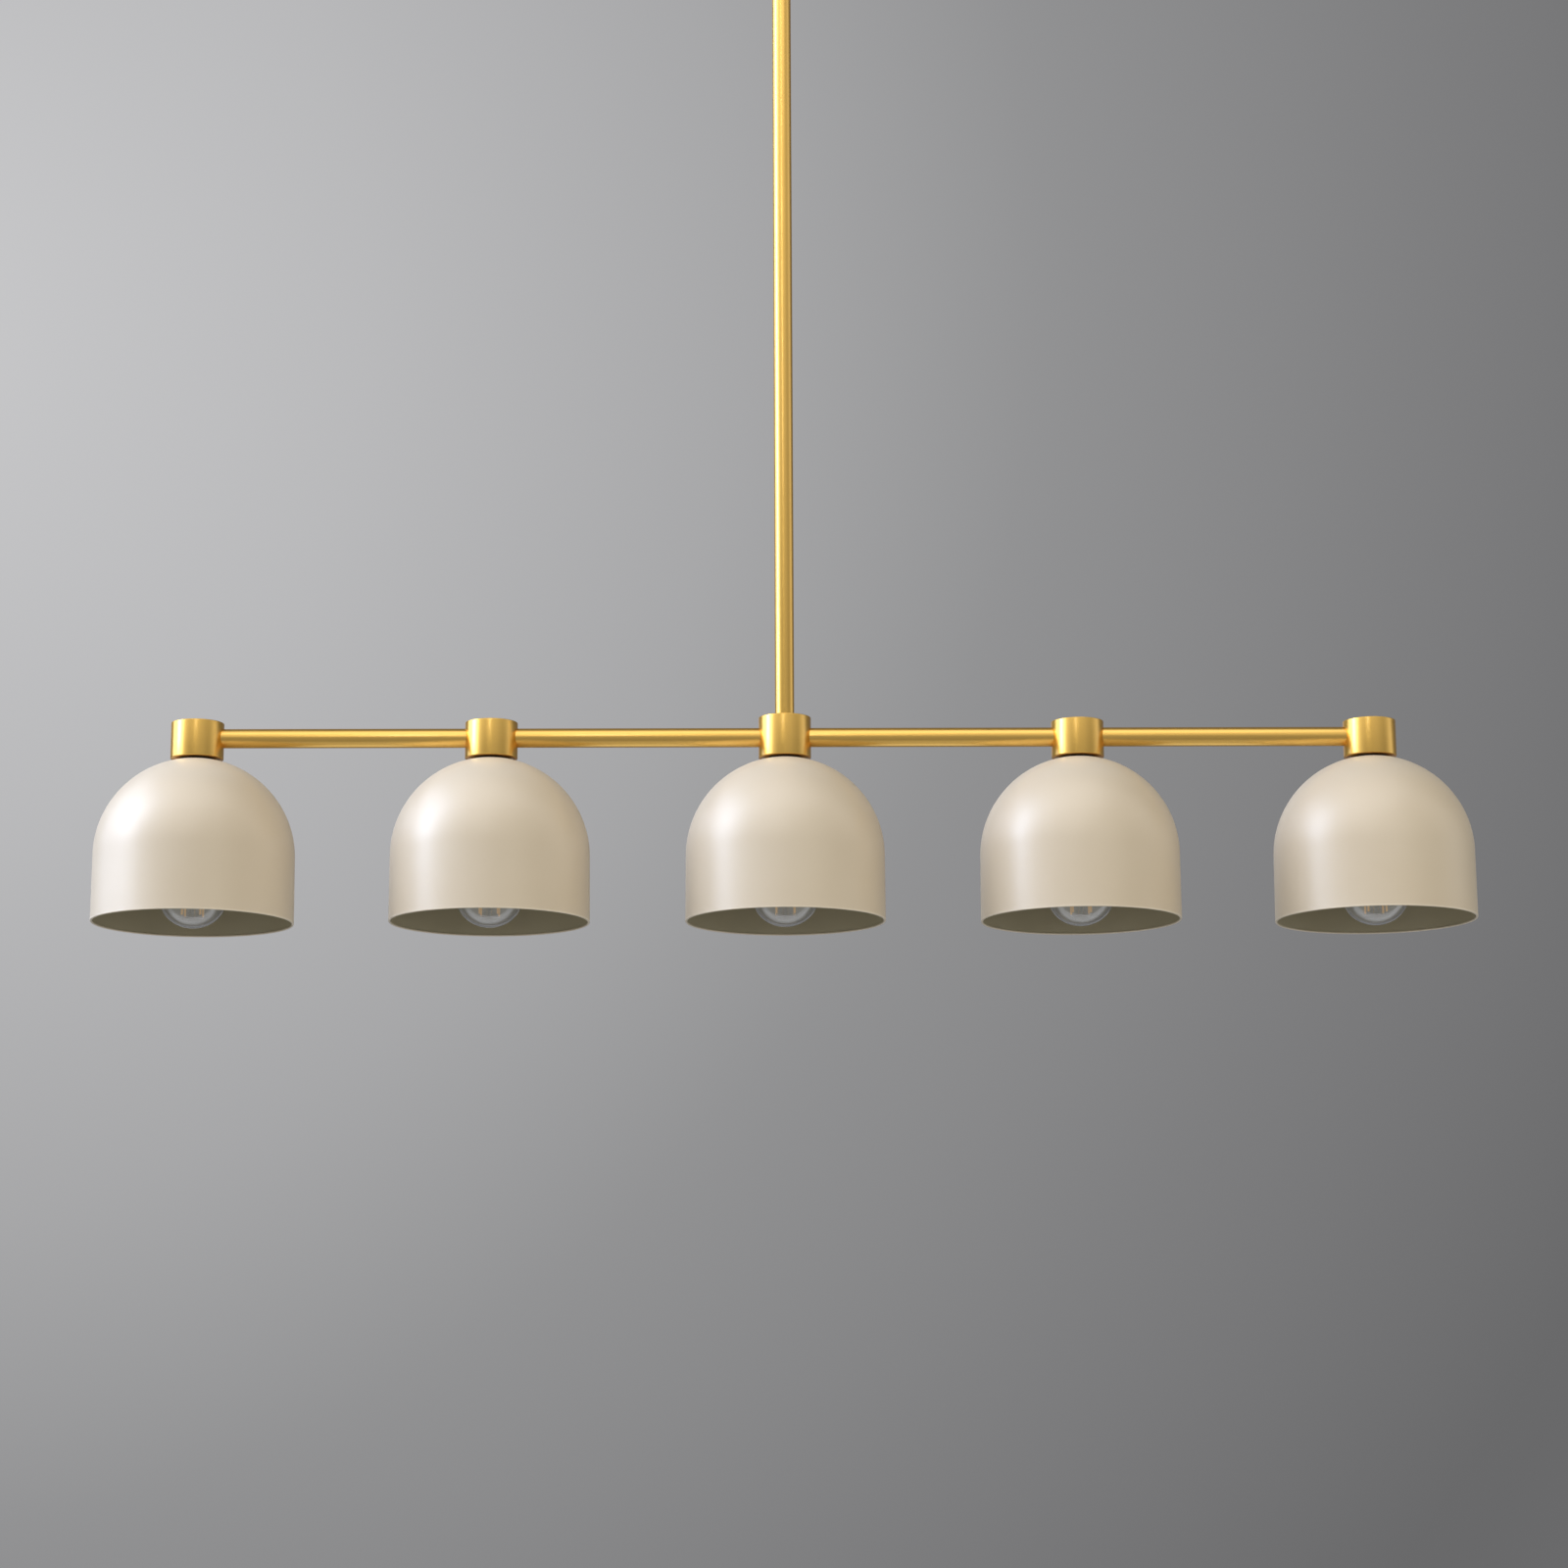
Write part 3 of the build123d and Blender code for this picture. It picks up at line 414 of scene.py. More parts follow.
def build_thread_tree():
    """A sleeve with a thread rolled into it, which fades out at both ends."""
    sizes = dict.fromkeys(("Radius", "Height", "Thread Pitch", "Depth", "Fade"), "Float")
    tree, given, result = new_geometry_tree(
        "Rolled Thread", {**sizes, "Around": "Int", "Rows": "Int"}
    )
    grid = grid_to_bend(tree, 1.0, given["Rows"], given["Around"])
    place = parts_of(tree, add_node(tree, "GeometryNodeInputPosition").outputs[0])
    rise = calc(tree, "MULTIPLY", calc(tree, "ADD", place["X"], 0.5), given["Height"])
    turn = calc(tree, "ADD", place["Y"], 0.5)
    angle = calc(tree, "MULTIPLY", turn, math.tau)
    phase = calc(tree, "SUBTRACT", calc(tree, "DIVIDE", rise, given["Thread Pitch"]), turn)
    groove = ripple(tree, calc(tree, "MULTIPLY", phase, math.tau))
    from_end = calc(tree, "MINIMUM", rise, calc(tree, "SUBTRACT", given["Height"], rise))
    fade = calc(tree, "MINIMUM", calc(tree, "DIVIDE", from_end, given["Fade"]), 1.0)
    cut = calc(tree, "MULTIPLY", calc(tree, "MULTIPLY", groove, fade), given["Depth"])
    distance = calc(tree, "SUBTRACT", given["Radius"], cut)
    finish_tree(tree, given, result, bend_round(tree, grid, distance, angle, rise))
    return tree


def build_ring_tree():
    """Copies of a piece in a ring round the Z axis."""
    tree, given, result = new_geometry_tree(
        "Ring Of Copies", {"Ring Count": "Int", "Ring Radius": "Float", "First Turn": "Float"}
    )
    number = add_node(tree, "GeometryNodeInputIndex").outputs[0]
    share = calc(tree, "DIVIDE", number, given["Ring Count"])
    angle = calc(tree, "ADD", calc(tree, "MULTIPLY", share, math.tau), given["First Turn"])
    place = polar(tree, given["Ring Radius"], angle, 0.0)
    ring = add_node(tree, "GeometryNodePoints", {"Count": given["Ring Count"], "Position": place})
    copies = add_node(
        tree,
        "GeometryNodeInstanceOnPoints",
        {
            "Points": ring.outputs[0],
            "Instance": given["Geometry"],
            "Rotation": vector(tree, 0.0, 0.0, angle),
        },
    )
    finish_tree(tree, given, result, copies.outputs[0])
    return tree


def tree_named(name):
    """The geometry tree of that name, built when it is first asked for."""
    builders = {
        "Turned Piece": build_turning_tree,
        "Rolled Thread": build_thread_tree,
        "Ring Of Copies": build_ring_tree,
    }
    return bpy.data.node_groups.get(name) or builders[name]()


# ---------------------------------------------------------------- meshes


def rounded(corners):
    """A closed profile: each corner is (radius, height) or (radius, height, fillet)."""
    points = []
    for number, corner in enumerate(corners):
        here = Vector(corner[:2])
        fillet = corner[2] if len(corner) > 2 else 0
        if not fillet:
            points.append(here)
            continue
        before = (Vector(corners[number - 1][:2]) - here).normalized()
        after = (Vector(corners[(number + 1) % len(corners)][:2]) - here).normalized()
        half = before.angle(after) / 2
        centre = here + (before + after).normalized() * fillet / math.sin(half)
        start = here + before * fillet / math.tan(half) - centre
        end = here + after * fillet / math.tan(half) - centre
        sweep = start.angle_signed(end)
        steps = max(4, round(abs(sweep) / math.radians(15)))
        for step in range(steps + 1):
            turn = Matrix.Rotation(-sweep * step / steps, 2)
            points.append(centre + turn @ start)
    points.append(points[0].copy())
    return points


def arc(centre_r, centre_z, size, start, end, steps):
    """Points of an arc in a profile, between two angles in degrees from the outward radius."""
    angles = [math.radians(start + (end - start) * step / steps) for step in range(steps + 1)]
    return [
        Vector((centre_r + size * math.cos(a), centre_z + size * math.sin(a))) for a in angles
    ]


def set_down(name, data):
    """An object for a mesh, a light or a camera, in the scene."""
    piece = bpy.data.objects.new(name, data)
    bpy.context.scene.collection.objects.link(piece)
    return piece


def bake(piece):
    """Keeps what a piece's modifiers make of it as its plain mesh."""
    depsgraph = bpy.context.evaluated_depsgraph_get()
    result = bpy.data.meshes.new_from_object(piece.evaluated_get(depsgraph))
    piece.modifiers.clear()
    if not result.polygons:
        raise RuntimeError(f"{piece.name} came out empty")
    old = piece.data
    piece.data = result
    bpy.data.meshes.remove(old)
    result.name = piece.name


def chain_of(name, points):
    """An object whose mesh is a chain of points: radius, height and, if given, depth of flutes."""
    mesh = bpy.data.meshes.new(name)
    chain = [(p[0], p[2] if len(p) > 2 else 0, p[1]) for p in points]
    mesh.from_pydata(chain, [(i, i + 1) for i in range(len(chain) - 1)], [])
    return set_down(name, mesh)


def grown(piece, tree_name, settings):
    """Runs a piece through a geometry tree and keeps the result as its mesh."""
    modifier = piece.modifiers.new(tree_name, "NODES")
    modifier.node_group = tree_named(tree_name)
    given = {"Copies": 1, "Spacing": PITCH, **settings}
    for item in modifier.node_group.interface.items_tree:
        if item.in_out == "INPUT" and item.name in given:
            modifier[item.identifier] = given[item.name]
    bake(piece)
    tidy_faces(piece)
    return piece


def kept_mesh(work, mesh):
    """Writes a BMesh into a mesh and frees it."""
    work.to_mesh(mesh)
    work.free()
    return mesh


def tidy_faces(piece, crease=math.radians(32)):
    """Faces point outwards, and only real edges are sharp."""
    work = bmesh.new()
    work.from_mesh(piece.data)
    bmesh.ops.recalc_face_normals(work, faces=work.faces)
    kept_mesh(work, piece.data)
    piece.data.shade_smooth()
    piece.data.set_sharp_from_angle(angle=crease)


def turned(name, points, finish, at=(0, 0, 0), lay=None, around=128, **settings):
    """A piece turned from a profile and set in place; lay turns it away from upright."""
    settings = {"Around": around, "Flutes": 0, "Finish": finish, **settings}
    piece = grown(chain_of(name, points), "Turned Piece", settings)
    place = Matrix.Translation(at)
    piece.data.transform(place @ lay if lay else place)
    return piece


def threaded(name, finish, at, size, height, depth, wall, fade, **settings):
    """A thin sleeve with a thread rolled into it, set in place."""
    settings = {
        "Radius": size,
        "Height": height,
        "Thread Pitch": bpy.context.scene.pendant_bulbs.thread_pitch,
        "Depth": depth,
        "Fade": fade,
        "Around": 96,
        "Rows": 90,
        "Finish": finish,
        **settings,
    }
    piece = grown(chain_of(name, [(0, 0)]), "Rolled Thread", settings)
    modifier = piece.modifiers.new("Wall", "SOLIDIFY")
    modifier.thickness = wall
    modifier.offset = -1
    bake(piece)
    tidy_faces(piece)
    piece.data.transform(Matrix.Translation(at))
    return piece


def joined(name, pieces):
    """Joins pieces into the first one, each with its own finish."""
    first = pieces[0]
    with bpy.context.temp_override(
        active_object=first, object=first, selected_editable_objects=pieces
    ):
        bpy.ops.object.join()
    first.name = name
    first.data.name = name
    return first


def drill(piece, holes):
    """Cuts blind round holes: each is (mouth, direction, radius, depth)."""
    for mouth, direction, size, depth in holes:
        work = bmesh.new()
        bmesh.ops.create_cone(
            work, cap_ends=True, segments=32, radius1=size, radius2=size, depth=2 * depth
        )
        aim = Vector(direction).to_track_quat("Z", "Y").to_matrix().to_4x4()
        work.transform(Matrix.Translation(mouth) @ aim)
        cutter = set_down("drill", kept_mesh(work, bpy.data.meshes.new("drill")))
        cut = piece.modifiers.new("Hole", "BOOLEAN")
        cut.operation = "DIFFERENCE"
        cut.solver = "EXACT"
        cut.object = cutter
        bake(piece)
        bpy.data.objects.remove(cutter)
    tidy_faces(piece)


def seat(piece, body, node):
    """Puts a finished piece on its body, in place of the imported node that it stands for."""
    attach(piece, body)
    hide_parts(node)


# ---------------------------------------------------------------- finishes


def new_finish(name, color, metallic, roughness, **sockets):
    """A material with its shader's plain values set; sockets are named with underscores."""
    finish = bpy.data.materials.new(name)
    finish.use_nodes = True
    shader = finish.node_tree.nodes["Principled BSDF"]
    finish.diffuse_color = (*color, 1)
    shader.inputs["Base Color"].default_value = (*color, 1)
    shader.inputs["Metallic"].default_value = metallic
    shader.inputs["Roughness"].default_value = roughness
    for socket, value in sockets.items():
        shader.inputs[socket.replace("_", " ")].default_value = value
    return finish, finish.node_tree, shader


def noise(tree, place, scale, detail=2.0, **more):
    """Factor of a Noise Texture."""
    inputs = {"Vector": place, "Scale": scale, "Detail": detail, **more}
    return add_node(tree, "ShaderNodeTexNoise", inputs).outputs["Fac"]


def spread(tree, factor, low, high, start=0.25, end=0.75):
    """Maps a factor to a range of values."""
    inputs = {"Value": factor, 1: start, 2: end, 3: low, 4: high}
    return add_node(tree, "ShaderNodeMapRange", inputs).outputs[0]


def blend_colors(tree, factor, low, high):
    """Mixes two colours by a factor."""
    mix = add_node(tree, "ShaderNodeMix", data_type="RGBA")
    tree.links.new(factor, mix.inputs[0])
    for number, color in ((6, low), (7, high)):
        if isinstance(color, bpy.types.NodeSocket):
            tree.links.new(color, mix.inputs[number])
        else:
            mix.inputs[number].default_value = (*color, 1)
    return mix.outputs[2]


def roughen(tree, shader, height, depth, strength):
    """Bump from a height factor; depth is in metres."""
    bump = add_node(
        tree, "ShaderNodeBump", {"Height": height, "Distance": depth, "Strength": strength}
    )
    tree.links.new(bump.outputs[0], shader.inputs["Normal"])


def object_place(tree):
    """Object coordinates, whole and in parts."""
    place = add_node(tree, "ShaderNodeTexCoord").outputs["Object"]
    return place, parts_of(tree, place)


def lamp_place(tree):
    """Object coordinates in parts, with X from the nearest lamp's axis."""
    _, part = object_place(tree)
    return calc(tree, "WRAP", part["X"], PITCH / 2, -PITCH / 2), part["Y"], part["Z"]


def from_axis(tree, x, y):
    """Distance from the Z axis."""
    squares = [calc(tree, "POWER", side, 2.0) for side in (x, y)]
    return calc(tree, "SQRT", calc(tree, "ADD", *squares))


def grain_round_axis(tree, spacing):
    """Lines that run round the nearest lamp's axis, as a lathe or a wheel leaves them."""
    x, y, z = lamp_place(tree)
    angle = calc(tree, "ARCTAN2", y, x)
    drift = 1.6  # how much a line changes on its way round
    lines = vector(
        tree,
        calc(tree, "MULTIPLY", from_axis(tree, x, y), 1 / spacing),
        calc(tree, "MULTIPLY", z, 1 / spacing),
        calc(tree, "MULTIPLY", calc(tree, "COSINE", angle), drift),
    )
    across = calc(tree, "MULTIPLY", calc(tree, "SINE", angle), drift)
    return add_node(
        tree,
        "ShaderNodeTexNoise",
        {"Vector": lines, "W": across, "Scale": 1.0, "Detail": 3.0, "Roughness": 0.65},
        noise_dimensions="4D",
    ).outputs["Fac"]


def faces_axis(tree):
    """One where a face looks towards the inside of the nearest lamp's shade, else nothing; it masks
    the painted shade inside.
    """
    x, y, z = lamp_place(tree)
    outwards = vector(tree, x, y, calc(tree, "SUBTRACT", z, (RIM_Z + CROWN_Z) / 2))
    normal = add_node(tree, "ShaderNodeTexCoord").outputs["Normal"]
    outside = dot_product(tree, outwards, normal)
    return calc(tree, "LESS_THAN", outside, 0.0)


def grain_along(tree, axis, spacing):
    """Lines that run along X or Z, as a belt leaves them on a tube."""
    place, _ = object_place(tree)
    scale = [1 / spacing] * 3
    scale["XYZ".index(axis)] = 12.0  # the lines are about 80 mm long
    lines = add_node(tree, "ShaderNodeMapping", {"Vector": place, "Scale": scale}).outputs[0]
    return noise(tree, lines, 1.0, 3.0, Roughness=0.65)


def brass_finish(name, grain_of, settings, rough, aging=1.0, relief=0.5):
    """Satin brass under lacquer: brush lines, faint clouds and handling marks."""
    finish, tree, shader = new_finish(
        name, settings.color, 1.0, rough,
        Specular_Tint=(0.86, 0.62, 0.32, 1), Coat_Weight=0.9, Coat_Roughness=0.16,
    )
    grain = grain_of(tree)
    place, _ = object_place(tree)
    clouds = noise(tree, place, 14.0, 4.0)
    spots = noise(tree, place, 160.0, 3.0)
    aged = calc(tree, "MULTIPLY", spread(tree, clouds, 0.0, 0.25, 0.42, 0.72), aging)
    tone = blend_colors(tree, aged, settings.color, settings.aged_color)
    line_tone = calc(tree, "MULTIPLY", spread(tree, grain, 0.0, 0.12), aging)
    tone = blend_colors(tree, line_tone, tone, settings.aged_color)
    tree.links.new(tone, shader.inputs["Base Color"])
    worn = spread(tree, spots, -0.004, 0.015, 0.4, 0.75)
    even = spread(tree, grain, rough - 0.006, rough + 0.014)
    hazy = spread(tree, clouds, -0.005, 0.03)
    total = calc(tree, "ADD", calc(tree, "ADD", even, worn), hazy)
    tree.links.new(total, shader.inputs["Roughness"])
    roughen(tree, shader, grain, 0.0015 * MM, relief)
    return finish


def tinted(color, *factors):
    """A colour with a factor for each channel, or one factor for all."""
    if len(factors) == 1:
        factors *= 3
    return tuple(min(1, channel * factor) for channel, factor in zip(color, factors))


def paint_finish(settings):
    """Satin powder coat: fine peel, uneven tone, dust on top, a painted highlight at the rim and
    painted shade inside.
    """
    paint = settings.color
    finish, tree, shader = new_finish(
        "cream_powder_coat", paint, 0.0, 0.42,
        Specular_IOR_Level=0.8, Coat_Weight=0.6, Coat_Roughness=0.38,
    )
    place, part = object_place(tree)
    peel = noise(tree, place, 1 / settings.peel, 2.0)
    speckle = noise(tree, place, 2600.0, 2.0)
    clouds = spread(tree, noise(tree, place, 9.0, 3.0), 0.0, 1.0, 0.35, 0.65)
    tone = blend_colors(tree, clouds, tinted(paint, 0.96, 0.945, 0.92), paint)
    pale = spread(tree, speckle, 0.0, 0.35, 0.45, 0.8)
    tone = blend_colors(tree, pale, tone, tinted(paint, 1.05, 1.06, 1.08))
    # Painted shade: faces that look into a shade are made darker and greener, for the shade that
    # falls inside it.
    tone = blend_colors(tree, faces_axis(tree), tone, tinted(paint, 0.70, 0.73, 0.66))
    # Painted highlight: the paint is made paler and cooler along the lip, for the light that its
    # rounded edge catches.
    rim = spread(tree, part["Z"], 0.85, 0.0, RIM_Z + 0.9 * MM, RIM_Z + 1.7 * MM)
    tone = blend_colors(tree, rim, tone, tinted(paint, 1.2, 1.24, 1.3))
    facing = parts_of(tree, add_node(tree, "ShaderNodeTexCoord").outputs["Normal"])["Z"]
    dust = spread(tree, facing, 0.0, 0.28, 0.6, 1.0)
    dust = calc(tree, "MULTIPLY", dust, spread(tree, speckle, 0.4, 1.0))
    tone = blend_colors(tree, dust, tone, (0.60, 0.57, 0.52))
    tree.links.new(tone, shader.inputs["Base Color"])
    rubbed = spread(tree, noise(tree, place, 38.0, 4.0), 0.38, 0.47)
    even = calc(tree, "ADD", rubbed, spread(tree, dust, 0.0, 0.25, 0.0, 0.3))
    tree.links.new(even, shader.inputs["Roughness"])
    height = calc(tree, "ADD", peel, calc(tree, "MULTIPLY", speckle, 0.25))
    roughen(tree, shader, height, 0.05 * MM, 0.5)
    return finish


def simple_finish(name, color, metallic, roughness, scale, tone=0.08, depth=0.02 * MM, **sockets):
    """A finish with uneven tone, roughness and a light bump, all from two noises."""
    finish, tree, shader = new_finish(name, color, metallic, roughness, **sockets)
    place, _ = object_place(tree)
    fine = noise(tree, place, scale, 3.0)
    broad = noise(tree, place, scale / 12, 3.0)
    shade = blend_colors(tree, spread(tree, broad, 0.0, 1.0), tinted(color, 1 - tone), color)
    shade = blend_colors(tree, spread(tree, fine, 0.0, 0.6), shade, tinted(color, 1 + tone))
    tree.links.new(shade, shader.inputs["Base Color"])
    rough = spread(tree, fine, roughness * 0.85, roughness * 1.15)
    rough = calc(tree, "ADD", rough, spread(tree, broad, -0.02, 0.05))
    tree.links.new(rough, shader.inputs["Roughness"])
    roughen(tree, shader, fine, depth, 0.6)
    return finish


def glass_finish():
    """Clear bulb glass with faint smears and a trace of flow in it."""
    finish, tree, shader = new_finish(
        "bulb_glass", (0.97, 0.985, 0.99), 0.0, 0.0,
        Transmission_Weight=1.0, IOR=1.5, Coat_Weight=1.0, Coat_IOR=1.62, Coat_Roughness=0.02,
    )
    place, _ = object_place(tree)
    smear = noise(tree, place, 55.0, 3.0)
    tree.links.new(spread(tree, smear, 0.0, 0.03, 0.55, 0.8), shader.inputs["Roughness"])
    stretched = add_node(tree, "ShaderNodeMapping", {"Vector": place, "Scale": (60, 60, 14)})
    flow = noise(tree, stretched.outputs[0], 1.0, 1.0)
    roughen(tree, shader, flow, 0.08 * MM, 0.5)
    return finish


# Each has its material's name, colour, metal share, roughness and noise scale; some also have how
# far their tone varies and how deep their bumps are.
PLAIN_FINISHES = {
    "contact_brass": ("contact_brass", (0.78, 0.60, 0.30), 1.0, 0.24, 900),
    "nickel_cap": ("nickel_plate", (0.66, 0.63, 0.57), 1.0, 0.2, 700),
    "insulator": ("black_glass", (0.012, 0.012, 0.014), 0.0, 0.15, 500),
    "solder": ("solder", (0.55, 0.55, 0.56), 1.0, 0.38, 1500, 0.15, 0.1 * MM),
    "wire": ("support_wire", (0.62, 0.56, 0.50), 1.0, 0.3, 1500),
    "zinc_steel": ("zinc_plate", (0.60, 0.61, 0.60), 1.0, 0.34, 260, 0.16, 0.03 * MM),
    "dark_steel": ("blackened_steel", (0.09, 0.09, 0.095), 1.0, 0.4, 800),
    "green_steel": ("green_dyed_steel", (0.06, 0.30, 0.10), 0.7, 0.38, 600, 0.12),
    "black_fibre": ("pressed_fibre", (0.03, 0.028, 0.026), 0.0, 0.75, 1300, 0.3, 0.06 * MM),
    "lead_black": ("black_insulation", (0.02, 0.02, 0.02), 0.0, 0.42, 500),
    "lead_white": ("white_insulation", (0.72, 0.72, 0.69), 0.0, 0.42, 500),
    "lead_green": ("green_insulation", (0.05, 0.30, 0.08), 0.0, 0.42, 500),
    "connector_plastic": ("connector_plastic", (0.50, 0.52, 0.54), 0.0, 0.25, 350),
}


@cache
def finish_named(name):
    """A finish of this lamp, made when it is first asked for."""
    if name in PLAIN_FINISHES:
        return simple_finish(*PLAIN_FINISHES[name])
    scene = bpy.context.scene
    brass = scene.pendant_brass
    makers = {
        "turned_brass": lambda: brass_finish(
            name, lambda tree: grain_round_axis(tree, brass.grain), brass, brass.roughness
        ),
        "socket_brass": lambda: brass_finish(
            name, lambda tree: grain_round_axis(tree, 0.6 * MM), brass, 0.34, 0.7
        ),
        "bar_brass": lambda: brass_finish(
            name, lambda tree: grain_along(tree, "X", brass.grain), brass, 0.3, 0.4, 0.12
        ),
        "stem_brass": lambda: brass_finish(
            name, lambda tree: grain_along(tree, "Z", brass.grain), brass, 0.3, 0.4, 0.12
        ),
        "cream_paint": lambda: paint_finish(scene.pendant_shades),
        "clear_glass": glass_finish,
        "porcelain": lambda: simple_finish(
            "glazed_porcelain", tuple(scene.pendant_sockets.glaze_color), 0.0, 0.16, 420, 0.04,
            Coat_Weight=0.5, Coat_Roughness=0.06,
        ),
        # Painted glow: the unlit light sticks are given a faint emission so that they look bright
        # inside the dark shade.
        "filament": lambda: simple_finish(
            "light_stick_coat_painted_glow", tuple(scene.pendant_bulbs.stick_color), 0.0, 0.5, 2200, 0.14,
            0.05 * MM, Coat_Weight=1.0, Coat_Roughness=0.15,
            Emission_Color=(1.0, 0.5, 0.13, 1), Emission_Strength=0.16,
        ),
        "nylon": lambda: simple_finish(
            "moulded_nylon", (0.74, 0.72, 0.66), 0.0, 0.45, 300, 0.05, Subsurface_Weight=0.1
        ),
    }
    return makers[name]()


# ---------------------------------------------------------------- pieces


def shade_profile(settings):
    """Profile of one shade over its rim's height: dome, skirt, lip and the same way back inside."""
    rim = radius("shade_1")
    outer = rim - settings.draft
    inner = outer - settings.wall
    dome_z = settings.skirt
    crown = CROWN_Z - RIM_Z
    edge = 0.7 * MM
    pad_angle = math.degrees(math.asin((crown - dome_z) / outer))
    pad_in_angle = math.degrees(math.asin((crown - settings.wall - dome_z) / inner))
    lip = [
        (rim, edge + 0.2 * MM),
        (rim, 0, edge),
        (rim - settings.lip_width, 0, edge),
        (rim - settings.lip_width, settings.lip_height, 0.5 * MM),
        (rim - settings.wall, settings.lip_height),
    ]
    points = [Vector((settings.hole, crown))]
    points += arc(0, dome_z, outer, pad_angle, 0, 40)
    points += rounded(lip)[:-1]
    points += arc(0, dome_z, inner, 0, pad_in_angle, 40)
    points += [Vector((settings.hole, crown - settings.wall)), points[0].copy()]
    return points


def hub_profile(settings, height, bore=0.0):
    """Profile of one hub over its underside; the wiring room opens downwards."""
    outer = radius("hub_1")
    room = row_radius("hub_plates")
    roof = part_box("bar_tube_1")[1].z - HUB_Z + ROOF_GAP
    edge = settings.edge
    corners = [(room, 0), (outer, 0, edge), (outer, height, edge)]
    return rounded(corners + [(bore, height), (bore, roof), (room, roof)])


def tube_profile(outer, wall, length):
    """Profile of a tube with lightly broken ends."""
    corners = ((outer - wall, 0), (outer, 0), (outer, length), (outer - wall, length))
    return rounded([(*corner, 0.2 * MM) for corner in corners])


class PENDANT_OT_shades(bpy.types.Operator):
    """Spin the five painted shades"""

    bl_idname = "pendant.shades"
    bl_label = "Shades"

    def execute(self, context):
        profile = shade_profile(context.scene.pendant_shades)
        paint = finish_named("cream_paint")
        for lamp in LAMPS:
            at = (LAMP_X[lamp], 0, RIM_Z)
            shade = turned(f"spun_shade_{lamp}", profile, paint, at, around=192)
            seat(shade, FIXTURE, f"shade_{lamp}")
        return {"FINISHED"}


class PENDANT_OT_bar(bpy.types.Operator):
    """Turn the hubs and set the bar and the stem in them"""

    bl_idname = "pendant.bar"
    bl_label = "Bar and stem"

    TUBE_WALL = 1.5 * MM
    SCREW_R = 2.0 * MM  # of the set screws' holes; the screws hide how deep those are
    BAR_HOLE = 4.0 * MM
    STEM_HOLE = 3.0 * MM

    def execute(self, context):
        tube_r = radius("stem_tube")
        for lamp in LAMPS:
            self.hub(context.scene.pendant_brass, lamp, tube_r)
        for number in range(1, len(LAMPS)):
            low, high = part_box(f"bar_tube_{number}")
            tube = turned(
                f"brushed_bar_{number}",
                tube_profile(tube_r, self.TUBE_WALL, high.x - low.x),
                finish_named("bar_brass"),
                at=(low.x, 0, (low.z + high.z) / 2),
                lay=Matrix.Rotation(math.radians(90), 4, "Y"),
            )
            seat(tube, FIXTURE, f"bar_tube_{number}")
        low, length = upright("stem_tube")
        profile = tube_profile(tube_r, self.TUBE_WALL, length)
        stem = turned("brushed_stem", profile, finish_named("stem_brass"), at=(0, 0, low))
        seat(stem, FIXTURE, "stem_tube")
        return {"FINISHED"}

    def hub(self, brass, lamp, tube_r):
        """One hub, drilled below for the bar's set screws; the middle one also has the stem's."""
        low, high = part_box(f"hub_{lamp}")
        x = LAMP_X[lamp]
        is_middle = lamp == MIDDLE_LAMP
        profile = hub_profile(brass, high.z - low.z, tube_r if is_middle else 0.0)
        hub = turned(
            f"turned_hub_{lamp}", profile, finish_named("turned_brass"), (x, 0, HUB_Z), around=160
        )
        ring = (radius("hub_1") + row_radius("hub_plates")) / 2
        holes = [
            ((x + side * ring, 0, HUB_Z), (0, 0, 1), self.SCREW_R, self.BAR_HOLE)
            for side in (-1, 1)
            if lamp + side in LAMPS
        ]
        if is_middle:
            screw_z = (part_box("bar_tube_1")[1].z + ROOF_GAP + high.z) / 2
            holes.append(((x, high.y, screw_z), (0, 1, 0), self.SCREW_R, self.STEM_HOLE))
        drill(hub, holes)
        seat(hub, FIXTURE, f"hub_{lamp}")


